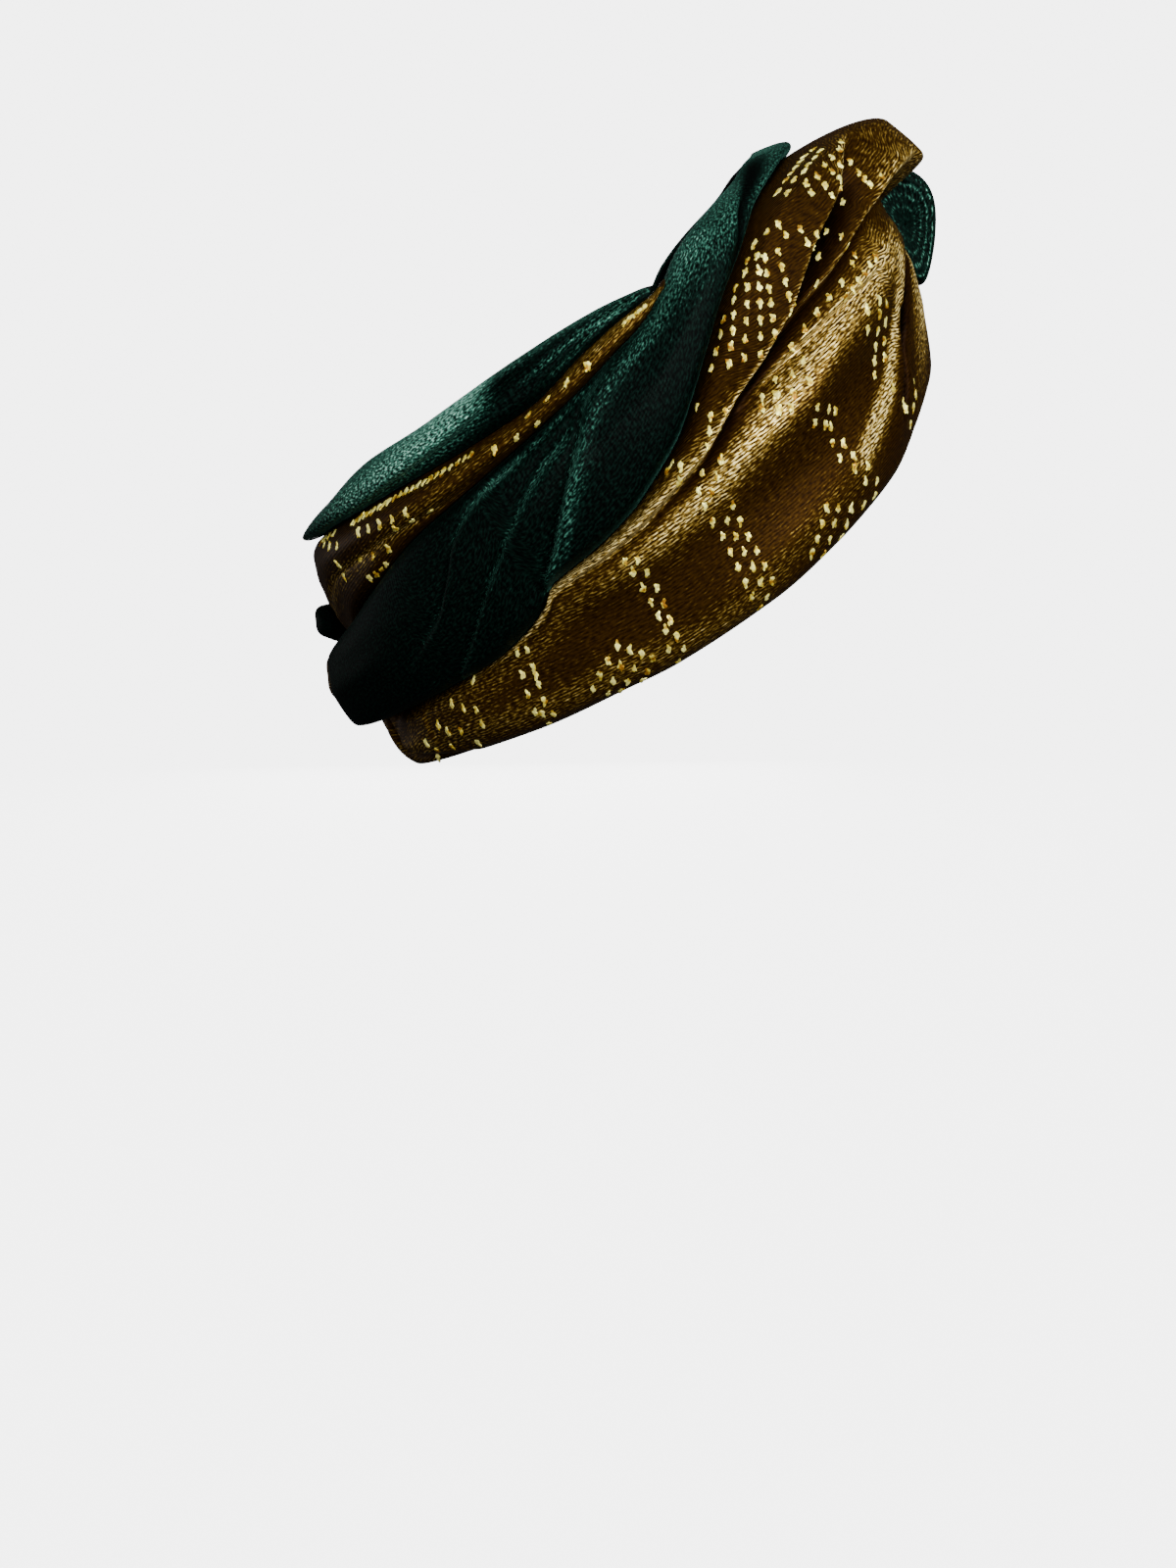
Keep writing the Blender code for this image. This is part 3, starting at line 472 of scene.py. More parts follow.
# Studio: lights with their place, size in metres and power in watts, the floor's profile and the camera
LIGHTS = (
    ("key", (0.55, -1.20, 0.60), 0.55, 44),
    ("top", (-0.35, -0.45, 1.35), 0.60, 10),
    ("bounce", (-0.60, -0.90, -0.20), 0.60, 3),
    ("far_key", (-0.10, 1.35, -0.05), 0.55, 12),
    ("far_back", (-1.40, 0.45, -0.10), 0.60, 4),
)
SKY_STRENGTH = 0.07
FLOOR_HEIGHT = -0.36
FLOOR_RADIUS = 1.9
FLOOR_CURVE = 0.9
WALL_HEIGHT = 3.6
FLOOR_SIDES = 96
FLOOR_STEPS = 8
FLOOR_GREY = 0.15
FLOOR_GLOW = 5.1
CAMERA_PLACE = (-0.011, -0.700, 0.035)
CAMERA_DIP = 11.5
CAMERA_LENS = 50.4
SENSOR_HEIGHT = 36


def smooth(table, column, at):
    """The table's column at each place of its first column, by a monotone cubic through the rows."""
    rows = np.array(table, float)
    place = rows[:, 0]
    value = rows[:, column]
    width = np.diff(place)
    slope = np.diff(value) / width
    tangent = np.zeros(len(rows))
    tangent[0] = slope[0]
    tangent[-1] = slope[-1]
    same_way = slope[:-1] * slope[1:] > 0
    inner = np.zeros(len(slope) - 1)
    inner[same_way] = 2 / (1 / slope[:-1][same_way] + 1 / slope[1:][same_way])
    tangent[1:-1] = inner
    at = np.clip(at, place[0], place[-1])
    row = np.clip(np.searchsorted(place, at, side="right") - 1, 0, len(width) - 1)
    share = (at - place[row]) / width[row]
    start = (1 + 2 * share) * (1 - share) ** 2
    start_pull = share * (1 - share) ** 2
    end = share ** 2 * (3 - 2 * share)
    end_pull = share ** 2 * (share - 1)
    return (start * value[row] + end * value[row + 1]
            + width[row] * (start_pull * tangent[row] + end_pull * tangent[row + 1]))


def from_ring(along, across, up):
    """A point of the tilted ring's own frame as (x, y, z)."""
    tilt = math.radians(RING_TILT)
    x = along * math.cos(tilt) - up * math.sin(tilt)
    z = along * math.sin(tilt) + up * math.cos(tilt)
    return np.stack([x, across, z], axis=-1)


def on_head(around, height, lift):
    """The point that stands off the head by lift, at degrees round from the front."""
    level = height / HALF_LENGTH
    back = smooth(HEAD_RINGS, 1, level) * HALF_LENGTH
    front = smooth(HEAD_RINGS, 2, level) * HALF_LENGTH
    side = smooth(HEAD_RINGS, 3, level) * HALF_WIDTH
    turn = np.radians(around)
    reach = np.where(np.cos(turn) > 0, front, back) + lift
    return from_ring(reach * np.cos(turn), -(side + lift) * np.sin(turn), height)


def place_of(around):
    """Degrees from the front, 0 to 180, whichever side of the head."""
    return abs((around + 180) % 360 - 180)


def band_lift(around, across, width, shape):
    """How far the band's outside stands off the head at a share across it."""
    lifts, folds = shape[2:4]
    columns = len(lifts[0]) - 1
    section = [(number / (columns - 1), smooth(lifts, number + 1, around)) for number in range(columns)]
    lift = smooth(section, 1, across)
    for step, crease, ridge, reach, sharpness, line in folds:
        strength = smooth(line, 2, around)
        if around < line[0][0] or around > line[-1][0]:
            continue
        off = (across - smooth(line, 1, around)) * width
        profile = step * np.tanh(off / sharpness) * np.exp(-np.abs(off) / reach)
        profile = profile - crease * np.exp(-((off / (CREASE_WIDTH * sharpness)) ** 2))
        profile = profile + ridge * np.exp(-((off / reach) ** 2))
        lift = lift + strength * profile
    return lift * BAND_LIFT


def band_painted_light(around, across, width, painted_lights):
    """The painted light and shade at a share across the band, from -1 (painted shade) to 1 (painted
    highlight).
    """
    even_light, lines = painted_lights
    painted_light = np.full(len(across), even_light)
    for glow, above, below, line in lines:
        if around < line[0][0] or around > line[-1][0]:
            continue
        off = (across - smooth(line, 1, around)) * width
        reach = np.where(off > 0, above, below)
        painted_light = painted_light + glow * smooth(line, 2, around) * np.exp(-((off / reach) ** 2))
    return np.clip(painted_light, -1, 1)


def wrinkles(around, across, seed):
    """Fine wrinkles that run mostly along the band."""
    total = 0.0
    turn = math.radians(around)
    for number, (across_waves, along_waves, height) in enumerate(WRINKLES):
        sway = math.sin(along_waves * turn + seed + number)
        sway += SECOND_SWAY * math.sin(SECOND_SWAY_WAVES * along_waves * turn + 2 * seed)
        total = total + height * np.sin(across_waves * across + SWAY_REACH * sway + seed * (number + 1))
    return total


def end_share(around, ends, rounding):
    """1 along the band, falling by a quarter circle to a small share at each rounded end."""
    share = 1.0
    for end, length in zip(ends, rounding):
        if length > 0:
            near = min(abs(around - end) / length, 1.0)
            share = min(share, math.sqrt(1 - (1 - near) ** 2 * END_FALL))
    return share


def band_section(around, shape, closing, across, back_across, seed):
    """The closed outline of a band at one place: its outside from low edge to high edge, then its back."""
    place = place_of(around)
    high = smooth(shape[0], 1, place) * RING_HEIGHT
    low = smooth(shape[1], 1, place) * RING_HEIGHT
    middle = (high + low) / 2
    width = max((high - low) * closing, TIP_THICKNESS)
    height = middle + (across - 0.5) * width
    lift = band_lift(place, across, width, shape) * closing
    undulation = wrinkles(around, across * width / CENTIMETRE, seed)
    lift = lift + undulation * closing * np.sin(across * math.pi)
    if width > 2 * EDGE_ROUNDING:
        rounding = np.clip(EDGE_SHARE * lift[[0, -1]], EDGE_ROUNDING, width / 2)
    else:
        rounding = np.full(2, width / 2)
    from_edge = np.minimum(np.minimum(across * width / rounding[0], (1 - across) * width / rounding[1]), 1)
    rounded = np.sqrt(1 - (1 - from_edge) ** 2)
    lift = HEAD_CLEARANCE + TIP_THICKNESS / 2 + np.maximum(lift, TIP_THICKNESS) * rounded
    outside = on_head(around, height, lift)
    inside_lift = HEAD_CLEARANCE + shape[4] * LAYER_GAP
    inside = on_head(around, middle + (back_across - 0.5) * width, inside_lift)
    return np.concatenate([outside, inside])


def loft(name, sections, cloth, closed=False):
    """A body through sections of as many points each, capped at both ends unless it closes on itself."""
    rows, count = len(sections), len(sections[0])
    points = np.concatenate(sections)
    row, column = np.meshgrid(np.arange(rows if closed else rows - 1), np.arange(count), indexing="ij")
    start, end, other = row * count, (row + 1) % rows * count, (column + 1) % count
    quads = np.stack([start + column, start + other, end + other, end + column], -1).reshape(-1, 4)
    faces = [tuple(int(corner) for corner in quad) for quad in quads]
    if not closed:
        faces.append(tuple(range(count))[::-1])
        faces.append(tuple((rows - 1) * count + place for place in range(count)))
    mesh = bpy.data.meshes.new(name)
    mesh.from_pydata(points.tolist(), [], faces)
    mesh.update()
    # The cloth attribute holds distance along, distance across, and the painted light and shade
    layer = mesh.attributes.new("cloth", "FLOAT_VECTOR", "POINT")
    layer.data.foreach_set("vector", np.concatenate(cloth).astype(np.float32).ravel())
    return finished(name, mesh)


def finished(name, mesh):
    """The object of a mesh, facing out and smooth."""
    mesh.calc_loop_triangles()
    points = np.array([vertex.co for vertex in mesh.vertices])
    corners = np.array([triangle.vertices for triangle in mesh.loop_triangles])
    first, second, third = points[corners[:, 0]], points[corners[:, 1]], points[corners[:, 2]]
    if np.einsum("ij,ij->i", first, np.cross(second, third)).sum() < 0:
        mesh.flip_normals()
    mesh.shade_smooth()
    thing = bpy.data.objects.new(name, mesh)
    bpy.context.scene.collection.objects.link(thing)
    return thing


SURFACES = {}


def cell(at, places):
    """Where values fall among rising places: as a fraction, and the whole number below it."""
    row = np.clip(np.interp(at, places, np.arange(len(places))), 0, len(places) - 1.001)
    return row, row.astype(int)


def on_cloth(node, around, across):
    """The points of a band's outside at arrays of degrees and shares across, read from its fine mesh."""
    arounds, acrosses, grid = SURFACES[node]
    row, left = cell(around, arounds)
    column, low = cell(across, acrosses)
    row_share, column_share = (row - left)[..., None], (column - low)[..., None]
    near = grid[left, low] * (1 - column_share) + grid[left, low + 1] * column_share
    far = grid[left + 1, low] * (1 - column_share) + grid[left + 1, low + 1] * column_share
    return near * (1 - row_share) + far * row_share


def foil_dots(name, node, rows, side, chance):
    """The foil dots of one side of a band: small lumpy plates, each a cluster longer than it is wide."""
    points, faces = [], []
    for start_around, start_across, end_around, end_across, count in rows:
        for number in range(count):
            share = number / max(count - 1, 1)
            around = side * (start_around + (end_around - start_around) * share)
            across = start_across + (end_across - start_across) * share
            if around < SURFACES[node][0][0]:
                around += 360
            add_dot(points, faces, node, around, across, chance)
    mesh = bpy.data.meshes.new(name)
    mesh.from_pydata(points, [], faces)
    thing = bpy.data.objects.new(name, mesh)
    bpy.context.scene.collection.objects.link(thing)
    return thing


def add_dot(points, faces, node, around, across, chance):
    """One foil dot, laid on the cloth."""
    edges = on_cloth(node, np.array([around, around]), np.array([0.0, 1.0]))
    inset = DOT_INSET / np.linalg.norm(edges[1] - edges[0])
    across = min(max(across, inset), 1 - inset)
    either_way = np.array([1, -1])
    ahead, behind = on_cloth(node, around + either_way * DOT_STEP_AROUND, np.array([across, across]))
    above, below = on_cloth(node, np.array([around, around]), across + either_way * DOT_STEP_ACROSS)
    centre = (ahead + behind) / 2
    along = (ahead - behind) / np.linalg.norm(ahead - behind)
    normal = np.cross(along, above - below)
    normal = normal / np.linalg.norm(normal)
    if np.dot(normal, centre * FARTHER_OUT) < 0:
        normal = -normal
    long_way = DOT_LEAN - normal * np.dot(DOT_LEAN, normal)
    long_way = long_way / np.linalg.norm(long_way)
    short_way = np.cross(normal, long_way)
    base = len(points)
    turn = np.linspace(0, 2 * math.pi, DOT_SIDES, endpoint=False)
    phase = chance.uniform(0, DOT_PHASES)
    lobes = np.cos(3 * turn + phase) + np.cos(4 * turn + 2 * phase)
    radius = DOT_ROUNDNESS + DOT_STRETCH * np.cos(turn) ** 2 + DOT_LOBE_DEPTH * lobes
    radius = radius + chance.uniform(-DOT_LOBE_DEPTH, DOT_LOBE_DEPTH, DOT_SIDES)
    tilt = chance.uniform(-DOT_TILT, DOT_TILT, 2)
    size = chance.uniform(*DOT_SIZES)
    reach_long = np.cos(turn) * radius * DOT_LENGTH / 2 * size
    reach_short = np.sin(turn) * radius * DOT_WIDTH / 2 * size
    for share, rise in DOT_RINGS:
        for number in range(DOT_SIDES):
            bump = chance.uniform(*DOT_BUMPS) if rise > 0 else 0
            bump += (reach_long[number] * tilt[0] + reach_short[number] * tilt[1]) * share
            points.append(tuple(centre + long_way * reach_long[number] * share
                                + short_way * reach_short[number] * share + normal * (rise + bump)))
    points.append(tuple(centre + normal * chance.uniform(*DOT_TOPS)))
    points.append(tuple(centre - normal * DOT_BOTTOM))
    for number in range(DOT_SIDES):
        other = (number + 1) % DOT_SIDES
        for ring in (0, DOT_SIDES):
            faces.append((base + ring + number, base + ring + other, base + ring + DOT_SIDES + other,
                          base + ring + DOT_SIDES + number))
        faces.append((base + 2 * DOT_SIDES + number, base + 2 * DOT_SIDES + other, base + 3 * DOT_SIDES))
        faces.append((base + other, base + number, base + 3 * DOT_SIDES + 1))


def crowded(count, share):
    """Places from 0 to 1, a share of whose spacing crowds to both ends."""
    even = np.linspace(0, 1, count)
    return share * (1 - np.cos(even * math.pi)) / 2 + (1 - share) * even


def band(row, number):
    """One band's fine cloth, with its distance along and across the cloth and its painted light and shade
    kept at every point.
    """
    node, _, start, end, stations, count, start_round, end_round, cloth_width = row
    shape = BAND_SHAPES[node.rsplit("_band")[0]]
    painted_lights = PAINTED_LIGHTS[node.rsplit("_band")[0]]
    across = crowded(count, EDGE_CROWDING)
    back_across = np.linspace(1, 0, INSIDE_POINTS)[1:-1]
    arounds = start + (end - start) * crowded(stations, END_CROWDING)
    sections, cloth = [], []
    for around in arounds:
        closing = end_share(around, (start, end), (start_round, end_round))
        sections.append(band_section(around, shape, closing, across, back_across, number * WRINKLE_SHIFT))
    surface = np.array(sections)[:, :count]
    SURFACES[node] = (arounds, across, surface)
    steps = np.linalg.norm(np.diff(surface, axis=1), axis=2)
    steps = (steps + np.roll(steps, 1, 0) + np.roll(steps, -1, 0)) / 3
    cloth_run = np.concatenate([np.zeros((len(steps), 1)), np.cumsum(steps, axis=1)], axis=1)
    for around in arounds:
        along = math.radians(around) * (HALF_LENGTH + HALF_WIDTH) / 2
        place = place_of(around)
        width = float(smooth(shape[0], 1, place) - smooth(shape[1], 1, place)) * RING_HEIGHT
        painted_light = np.concatenate([band_painted_light(place, across, width, painted_lights), np.zeros(len(back_across))])
        run = np.concatenate([cloth_run[len(cloth)], back_across * cloth_width])
        cloth.append(np.stack([np.full(len(run), along), run, painted_light], -1))
    return loft(node.replace("_band", "_cloth"), sections, cloth)


def on_front(forward, across, up):
    """A point near the front knot, from its middle, upright in the wearer's frame."""
    middle = from_ring(KNOT_FORWARD * HALF_LENGTH, 0.0, KNOT_UP * RING_HEIGHT)
    return middle + np.stack([forward, across, up], axis=-1)


def oval(turn, half_depth, half_height):
    """Forward and up on a rounded oval, at radians from its front; its back leans with the forehead."""
    forward = np.sign(np.cos(turn)) * np.abs(np.cos(turn)) ** OVAL_ROUNDNESS * half_depth
    up = np.sign(np.sin(turn)) * np.abs(np.sin(turn)) ** OVAL_ROUNDNESS * half_height
    return forward - KNOT_LEAN * up * (1 - np.cos(turn)) / 2, up


def front_gather():
    """The gold pinched inside the loop, fuller in its middle, with lengthwise pleats."""
    inside = LOOP_THICKNESS + KNOT_GAP
    turn = np.linspace(0, 2 * math.pi, GATHER_POINTS, endpoint=False)
    sections, cloth = [], []
    for share in np.linspace(-1, 1, GATHER_STATIONS):
        sway = GATHER_TWIST * share + GATHER_UNEVEN * np.sin(3 * turn)
        ridge = 0.5 - 0.5 * np.abs(np.sin(GATHER_PLEATS * turn + sway))
        neck = NECK_DEPTH * min(max((abs(share) - NECK_START) / NECK_LENGTH, 0), 1)
        pleat = (1 - GATHER_PLEAT_DEPTH * ridge) * (1 - neck)
        forward, up = oval(turn, LOOP_DEPTH / 2 - inside, LOOP_HEIGHT / 2 - inside)
        across = np.full(len(turn), share * LOOP_WIDTH / 2 * GATHER_SPAN)
        sections.append(on_front(forward * pleat, across, up * pleat))
        # An even painted light level over the whole gather
        cloth.append(np.stack([across, turn * GATHER_RUN, np.full(len(turn), SMALL_PIECE_PAINTED_LIGHT["gold"])], -1))
    return loft("gather_cloth", sections, cloth)


def front_loop():
    """The smooth green band round the gather; its edges turn in over the ends in fine rounds."""
    crown = np.linspace(-1, 1, LOOP_CROWN_POINTS)
    inward = np.linspace(0, 1, LOOP_SIDE_POINTS)[1:]
    swell = np.sqrt(1 - (crown * CROWN_FALL) ** 2) * LOOP_THICKNESS
    side = 1 - SIDE_DISH * inward ** 2
    across = np.concatenate([crown, side, LOOP_INSIDE * np.array([1, 1, -1, -1]), -side[::-1]])
    wall = 1 - (1 - LOOP_OPENING) * inward
    side_depth = LOOP_DEPTH / 2 * (1 - LOOP_THICKNESS * RIM_DEPTH / (LOOP_DEPTH / 2)) * wall
    side_height = LOOP_HEIGHT / 2 * RIM_HEIGHT * wall
    inner_depth = np.array([LOOP_OPENING, INSIDE_DEPTH, INSIDE_DEPTH, LOOP_OPENING]) * LOOP_DEPTH / 2
    inner_height = np.array([LOOP_OPENING, INSIDE_HEIGHT, INSIDE_HEIGHT, LOOP_OPENING]) * LOOP_HEIGHT / 2
    swell = swell - LOOP_THICKNESS
    depth = np.concatenate([LOOP_DEPTH / 2 + swell, side_depth, inner_depth, side_depth[::-1]])
    height = np.concatenate([LOOP_HEIGHT / 2 + swell, side_height, inner_height, side_height[::-1]])
    # Painted highlights in arcs over the side's fine rounds, on an even painted light
    arcs = SIDE_PAINTED_LIGHT + ARC_PAINTED_HIGHLIGHT * np.cos(inward * ARC_WAVES - ARC_SHIFT) ** ARC_SHARPNESS * (1 - inward)
    painted_light = np.concatenate([np.full(len(crown), CROWN_PAINTED_LIGHT), arcs, np.zeros(4), arcs[::-1]])
    sections, cloth = [], []
    for turn in np.linspace(0, 2 * math.pi, LOOP_STATIONS, endpoint=False):
        rounds = np.cos(inward * ROUND_WAVES + ROUND_SWAY * math.sin(2 * turn))
        rounds = ROUND_HEIGHT * rounds * np.exp(-inward * ROUND_FADE)
        bulge = np.concatenate([np.zeros(len(crown)), rounds, np.zeros(4), -rounds[::-1]])
        forward, up = oval(np.full(len(across), turn), depth, height)
        sections.append(on_front(forward, (across + bulge) * LOOP_WIDTH / 2, up))
        along = np.full(len(across), turn * LOOP_RUN)
        cloth.append(np.stack([along, across * LOOP_WIDTH / 2 + depth, painted_light], -1))
    return loft("loop_cloth", sections, cloth, closed=True)


def back_roll(name, row):
    """A small rounded roll at the nape with creases that run over it from side to side."""
    along, up, depth, height, width = row
    rise = np.linspace(-1, 1, ROLL_STATIONS)[1:-1] * math.pi / 2
    turn = np.linspace(0, 2 * math.pi, ROLL_POINTS, endpoint=False)
    sections, cloth = [], []
    for lift in rise:
        x = np.cos(lift) * np.cos(turn)
        z = np.cos(lift) * np.sin(turn)
        y = np.full(len(turn), math.sin(lift))
        groove = 0.5 + 0.5 * np.cos(ROLL_CREASES * turn + ROLL_SWAY * math.sin(lift))
        crease = 1 - ROLL_CREASE_DEPTH * groove * np.hypot(x, z)
        place = from_ring(
            along * HALF_LENGTH + x * crease * depth * HALF_LENGTH,
            y * width * BACK_KNOT_WIDTH / 2,
            up * RING_HEIGHT + z * crease * height * RING_HEIGHT,
        )
        sections.append(place)
        # An even painted light level over the whole roll
        painted_light = np.full(len(turn), SMALL_PIECE_PAINTED_LIGHT[name.rsplit("_", 1)[1]])
        cloth.append(np.stack([y * width * BACK_KNOT_WIDTH / 2, turn * ROLL_RUN, painted_light], -1))
    return loft(name.replace("back_knot", "nape_roll"), sections, cloth)


def add(tree, kind, links=(), **values):
    """A shader node with its settings, input values and links (input, from socket)."""
    item = tree.nodes.new(kind)
    for key, value in values.items():
        if key.startswith("in_"):
            item.inputs[key[3:].replace("_", " ")].default_value = value
        else:
            setattr(item, key, value)
    for target, source in links:
        tree.links.new(source, item.inputs[target])
    return item


def ramp(tree, source, stops):
    """A colour ramp with its stops (position, colour) fed by a value."""
    item = add(tree, "ShaderNodeValToRGB", [("Fac", source)])
    elements = item.color_ramp.elements
    elements[0].position, elements[0].color = stops[0][0], (*stops[0][1], 1)
    elements[1].position, elements[1].color = stops[-1][0], (*stops[-1][1], 1)
    for position, colour in stops[1:-1]:
        element = elements.new(position)
        element.color = (*colour, 1)
    return item.outputs["Color"]


def stretched(tree, cloth, scale):
    """The cloth's own coordinates, scaled apart along and across."""
    item = add(tree, "ShaderNodeMapping", [("Vector", cloth)])
    item.inputs["Scale"].default_value = scale
    return item.outputs["Vector"]


def noise(tree, place, scale, detail):
    """Fine uneven grain, from 0 to 1."""
    return add(tree, "ShaderNodeTexNoise", [("Vector", stretched(tree, place, scale))], in_Scale=1.0,
               in_Detail=detail).outputs["Fac"]


def stripes(tree, cloth, scale, direction, distortion):
    """Fine rows in the cloth, from 0 to 1."""
    return add(tree, "ShaderNodeTexWave", [("Vector", stretched(tree, cloth, scale))], in_Scale=1.0,
               bands_direction=direction, in_Distortion=distortion, in_Detail=1.0).outputs["Fac"]


def worked(tree, operation, *values):
    """A sum or product of values, each a socket or a number."""
    item = add(tree, "ShaderNodeMath", operation=operation)
    for socket, value in zip(item.inputs, values):
        if isinstance(value, (int, float)):
            socket.default_value = value
        else:
            tree.links.new(value, socket)
    return item.outputs["Value"]


def ranged(tree, value, low, high):
    """A value from 0 to 1 spread between two others."""
    item = add(tree, "ShaderNodeMapRange", [("Value", value)], in_To_Min=low, in_To_Max=high)
    return item.outputs["Result"]


def cloth_parts(tree):
    """The cloth's own coordinates and its painted light and shade."""
    cloth = add(tree, "ShaderNodeAttribute", attribute_name="cloth").outputs["Vector"]
    painted_light = add(tree, "ShaderNodeSeparateXYZ", [("Vector", cloth)]).outputs["Z"]
    return cloth, painted_light


def with_painted_light(tree, grain, painted_light, share):
    """The grain's value with painted light: raised, with stronger grain, where a painted highlight is, and
    lowered where painted shade is.
    """
    strength = ranged(tree, painted_light, PLAIN_GRAIN, PAINTED_HIGHLIGHT_GRAIN)
    grained = worked(tree, "MULTIPLY", worked(tree, "SUBTRACT", grain, 0.5), strength)
    return worked(tree, "ADD", grained, worked(tree, "MULTIPLY_ADD", painted_light, share, 0.5))


def relief(tree, shader, first, second, strength):
    """Two grains added up as a fine relief."""
    bump = add(tree, "ShaderNodeBump", [("Height", worked(tree, "ADD", first, second))], in_Strength=strength,
               in_Distance=RELIEF_DEPTH)
    tree.links.new(bump.outputs["Normal"], shader.inputs["Normal"])


def bare(name, **values):
    """A new material with values set on its shader."""
    material = bpy.data.materials.new(name)
    material.use_nodes = True
    tree = material.node_tree
    shader = tree.nodes["Principled BSDF"]
    for key, value in values.items():
        shader.inputs[key.replace("_", " ")].default_value = value
    return material, tree, shader


def velvet(name):
    """Dark green stretch velvet with fine rows of pile, and mint speckle painted into its colour where
    painted highlights are set.
    """
    material, tree, shader = bare(name, Metallic=0.10, Specular_IOR_Level=0.02, Sheen_Roughness=0.30,
                                  Sheen_Tint=(0.25, 0.80, 0.60, 1))
    cloth, painted_light = cloth_parts(tree)
    speckle = noise(tree, cloth, (900, 1500, 0), 2.0)
    rows = stripes(tree, cloth, (350, 30, 0), "X", 1.2)
    patches = noise(tree, cloth, (60, 160, 0), 3.0)
    colour = ramp(tree, with_painted_light(tree, speckle, painted_light, VELVET_PAINTED_LIGHT_SHIFT), VELVET_TONE_AND_PAINTED_LIGHT)
    tree.links.new(colour, shader.inputs["Base Color"])
    tree.links.new(ranged(tree, patches, 0.50, 0.65), shader.inputs["Roughness"])
    # Painted sheen: the sheen's weight follows the painted light, strongest where painted highlights are
    tree.links.new(ranged(tree, painted_light, 0.00, 0.14), shader.inputs["Sheen Weight"])
    relief(tree, shader, speckle, rows, 0.45)
    return material


def brocade(name):
    """Bronze knit velvet with fine ribs along the band and a grain of gold thread whose bright specks are
    painted glints, most where painted highlights are set.
    """
    material, tree, shader = bare(name, Metallic=0.42, Specular_IOR_Level=0.02)
    cloth, painted_light = cloth_parts(tree)
    sparkle = noise(tree, cloth, (600, 1900, 0), 2.0)
    ribs = stripes(tree, cloth, (12, 320, 0), "Y", 0.8)
    thread = worked(tree, "MULTIPLY_ADD", ribs, RIB_SHARE, sparkle)
    patches = noise(tree, cloth, (40, 200, 0), 3.0)
    # Painted highlight and shade: the colour follows the painted light as well as the grain and ribs
    colour = ramp(tree, with_painted_light(tree, thread, painted_light, BROCADE_PAINTED_LIGHT_SHIFT), BROCADE_TONE_AND_PAINTED_LIGHT)
    tree.links.new(colour, shader.inputs["Base Color"])
    tree.links.new(ranged(tree, patches, 0.44, 0.56), shader.inputs["Roughness"])
    relief(tree, shader, sparkle, ribs, 0.50)
    return material


def foil(name):
    """Bright yellow foil, a little uneven."""
    material, tree, shader = bare(name, Metallic=0.50, Specular_IOR_Level=0.10, Roughness=0.45)
    place = add(tree, "ShaderNodeTexCoord").outputs["Object"]
    patches = noise(tree, place, (420, 420, 420), 2.0)
    tree.links.new(ramp(tree, patches, FOIL_COLOURS), shader.inputs["Base Color"])
    return material


def paper(name):
    """The plain pale floor and wall."""
    grey = (FLOOR_GREY, FLOOR_GREY, FLOOR_GREY, 1)
    return bare(name, Base_Color=grey, Roughness=0.9, Emission_Color=(1, 1, 1, 1),
                Emission_Strength=FLOOR_GLOW)[0]


def sweep():
    """A round floor that curves up into a wall all round."""
    profile = [(0.0, FLOOR_HEIGHT), (FLOOR_RADIUS, FLOOR_HEIGHT)]
    for turn in np.linspace(0.2, math.pi / 2, FLOOR_STEPS):
        profile.append((FLOOR_RADIUS + FLOOR_CURVE * math.sin(turn),
                        FLOOR_HEIGHT + FLOOR_CURVE * (1 - math.cos(turn))))
    profile.append((FLOOR_RADIUS + FLOOR_CURVE, WALL_HEIGHT))
    points, faces = [], []
    for radius, height in profile:
        for side in range(FLOOR_SIDES):
            turn = 2 * math.pi * side / FLOOR_SIDES
            points.append((radius * math.cos(turn), radius * math.sin(turn), height))
    for row in range(len(profile) - 1):
        low, high = row * FLOOR_SIDES, (row + 1) * FLOOR_SIDES
        for side in range(FLOOR_SIDES):
            other = (side + 1) % FLOOR_SIDES
            faces.append((low + side, low + other, high + other, high + side))
    mesh = bpy.data.meshes.new("floor")
    mesh.from_pydata(points, [], faces)
    mesh.shade_smooth()
    mesh.materials.append(paper("floor_paper"))
    floor = bpy.data.objects.new("floor", mesh)
    bpy.context.scene.collection.objects.link(floor)
    floor.visible_diffuse = False
    floor.visible_glossy = False


def area_light(name, place, size, power):
    """A soft square light at a place, turned to the middle of the wrap."""
    light = bpy.data.lights.new(name, "AREA")
    light.shape = "SQUARE"
    light.size = size
    light.energy = power
    lamp = bpy.data.objects.new(name, light)
    lamp.location = place
    lamp.visible_camera = False
    lamp.rotation_euler = (-Vector(place)).to_track_quat("-Z", "Y").to_euler()
    bpy.context.scene.collection.objects.link(lamp)


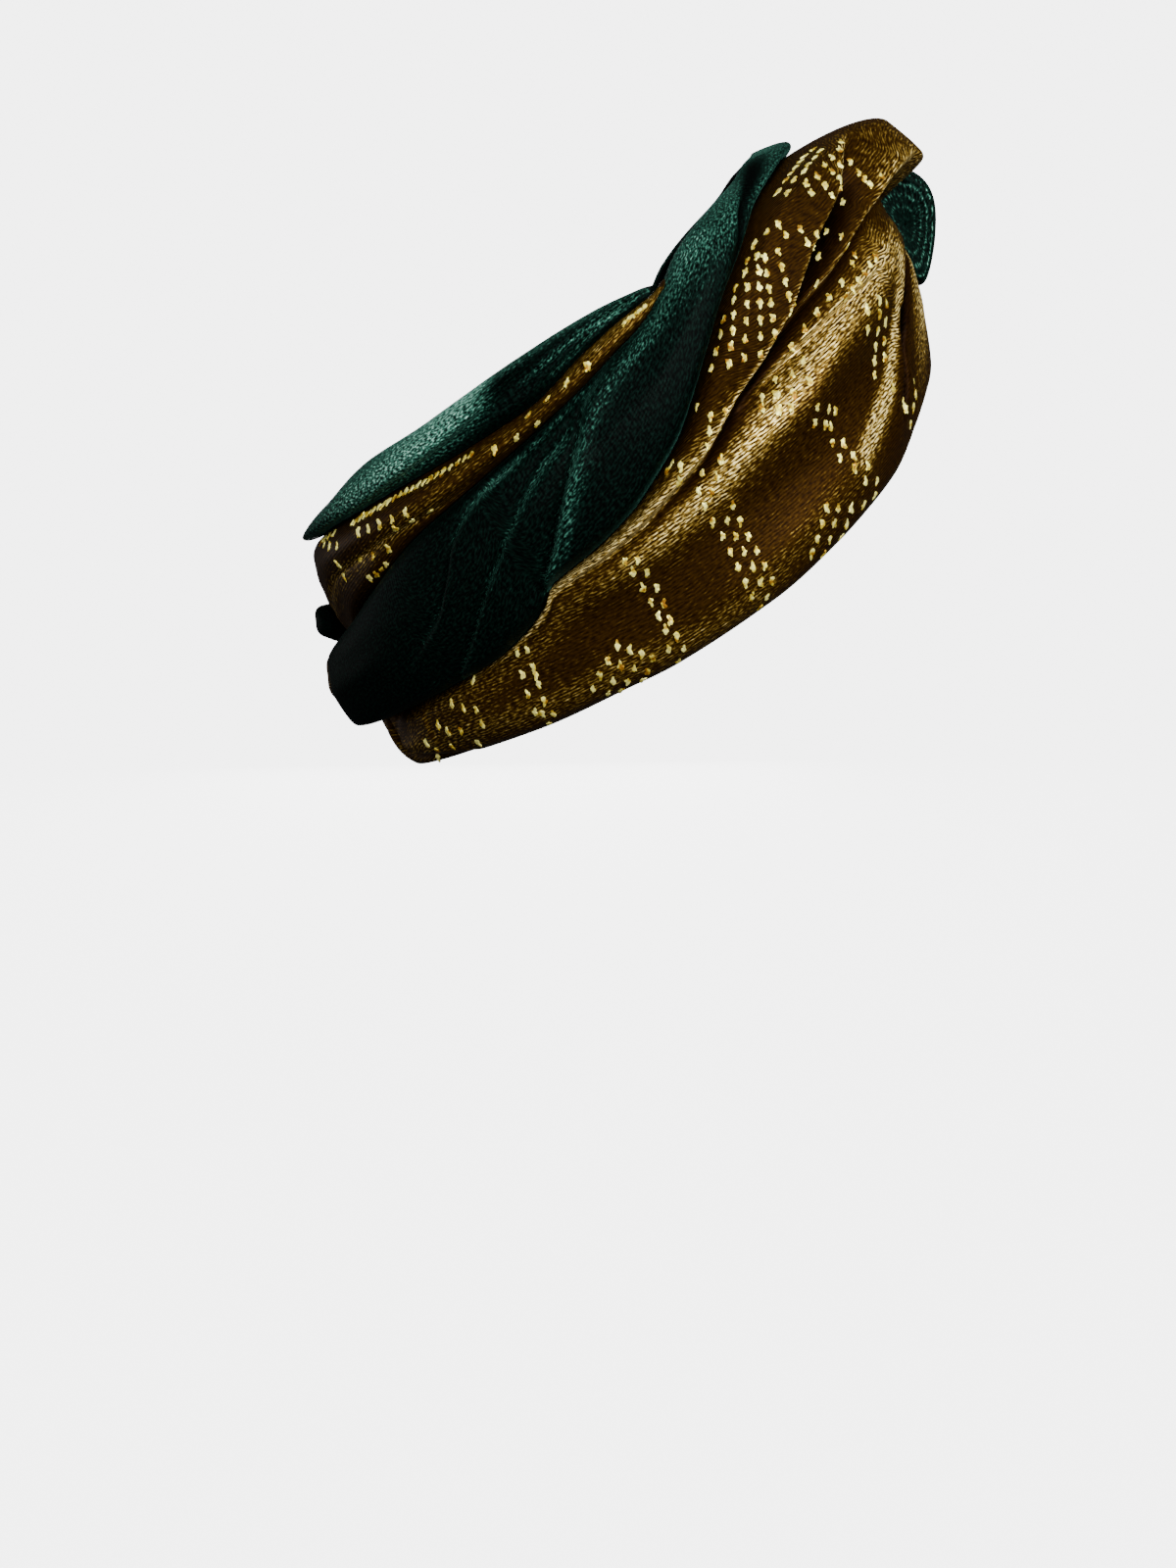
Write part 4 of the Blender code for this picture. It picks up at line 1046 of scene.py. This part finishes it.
def camera():
    """The camera at the photo's angle."""
    lens = bpy.data.cameras.new("camera")
    lens.sensor_fit = "VERTICAL"
    lens.sensor_height = SENSOR_HEIGHT
    lens.lens = CAMERA_LENS
    eye = bpy.data.objects.new("camera", lens)
    eye.location = CAMERA_PLACE
    eye.rotation_euler = (math.radians(90 - CAMERA_DIP), 0, 0)
    bpy.context.scene.collection.objects.link(eye)
    bpy.context.scene.camera = eye


def world():
    """A low even light from all round."""
    sky = bpy.data.worlds.new("studio")
    sky.use_nodes = True
    sky.node_tree.nodes["Background"].inputs["Color"].default_value = (1, 1, 1, 1)
    sky.node_tree.nodes["Background"].inputs["Strength"].default_value = SKY_STRENGTH
    bpy.context.scene.world = sky


def main():
    """Builds the wrap's cloth and dots, then the studio."""
    for thing in list(bpy.data.objects):
        if thing.name in ("Cube", "Light", "Camera"):
            bpy.data.objects.remove(thing)
    green = velvet("green_velvet_pile")
    gold = brocade("gold_brocade_knit")
    for number, row in enumerate(BANDS):
        thing = band(row, number + 1)
        dress(thing, row[0], green if row[1] == "green" else gold)
    dress(front_gather(), "front_gather", gold)
    dress(front_loop(), "front_loop", green)
    for name, row in BACK_ROLLS.items():
        colour = name.rsplit("_", 1)[1]
        dress(back_roll(name, row), name, green if colour == "green" else gold)
    shine = foil("foil_print")
    chance = np.random.default_rng(DOT_SEED)
    for name, node, rows, side in (
        ("foil_dots_right", "lower_gold_band_right", DOT_ROWS["lower_gold"], 1),
        ("foil_dots_left", "lower_gold_band_left", DOT_ROWS["lower_gold"], -1),
        ("foil_dots_upper_right", "upper_gold_band", DOT_ROWS["upper_gold"], 1),
        ("foil_dots_upper_left", "upper_gold_band", DOT_ROWS["upper_gold"], -1),
    ):
        dots = foil_dots(name, node, rows, side, chance)
        dots.data.materials.append(shine)
        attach(dots, "root")
    sweep()
    for row in LIGHTS:
        area_light(*row)
    camera()
    world()


def dress(thing, node, material):
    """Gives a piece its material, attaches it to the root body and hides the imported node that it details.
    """
    thing.data.materials.append(material)
    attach(thing, "root")
    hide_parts(node)


main()
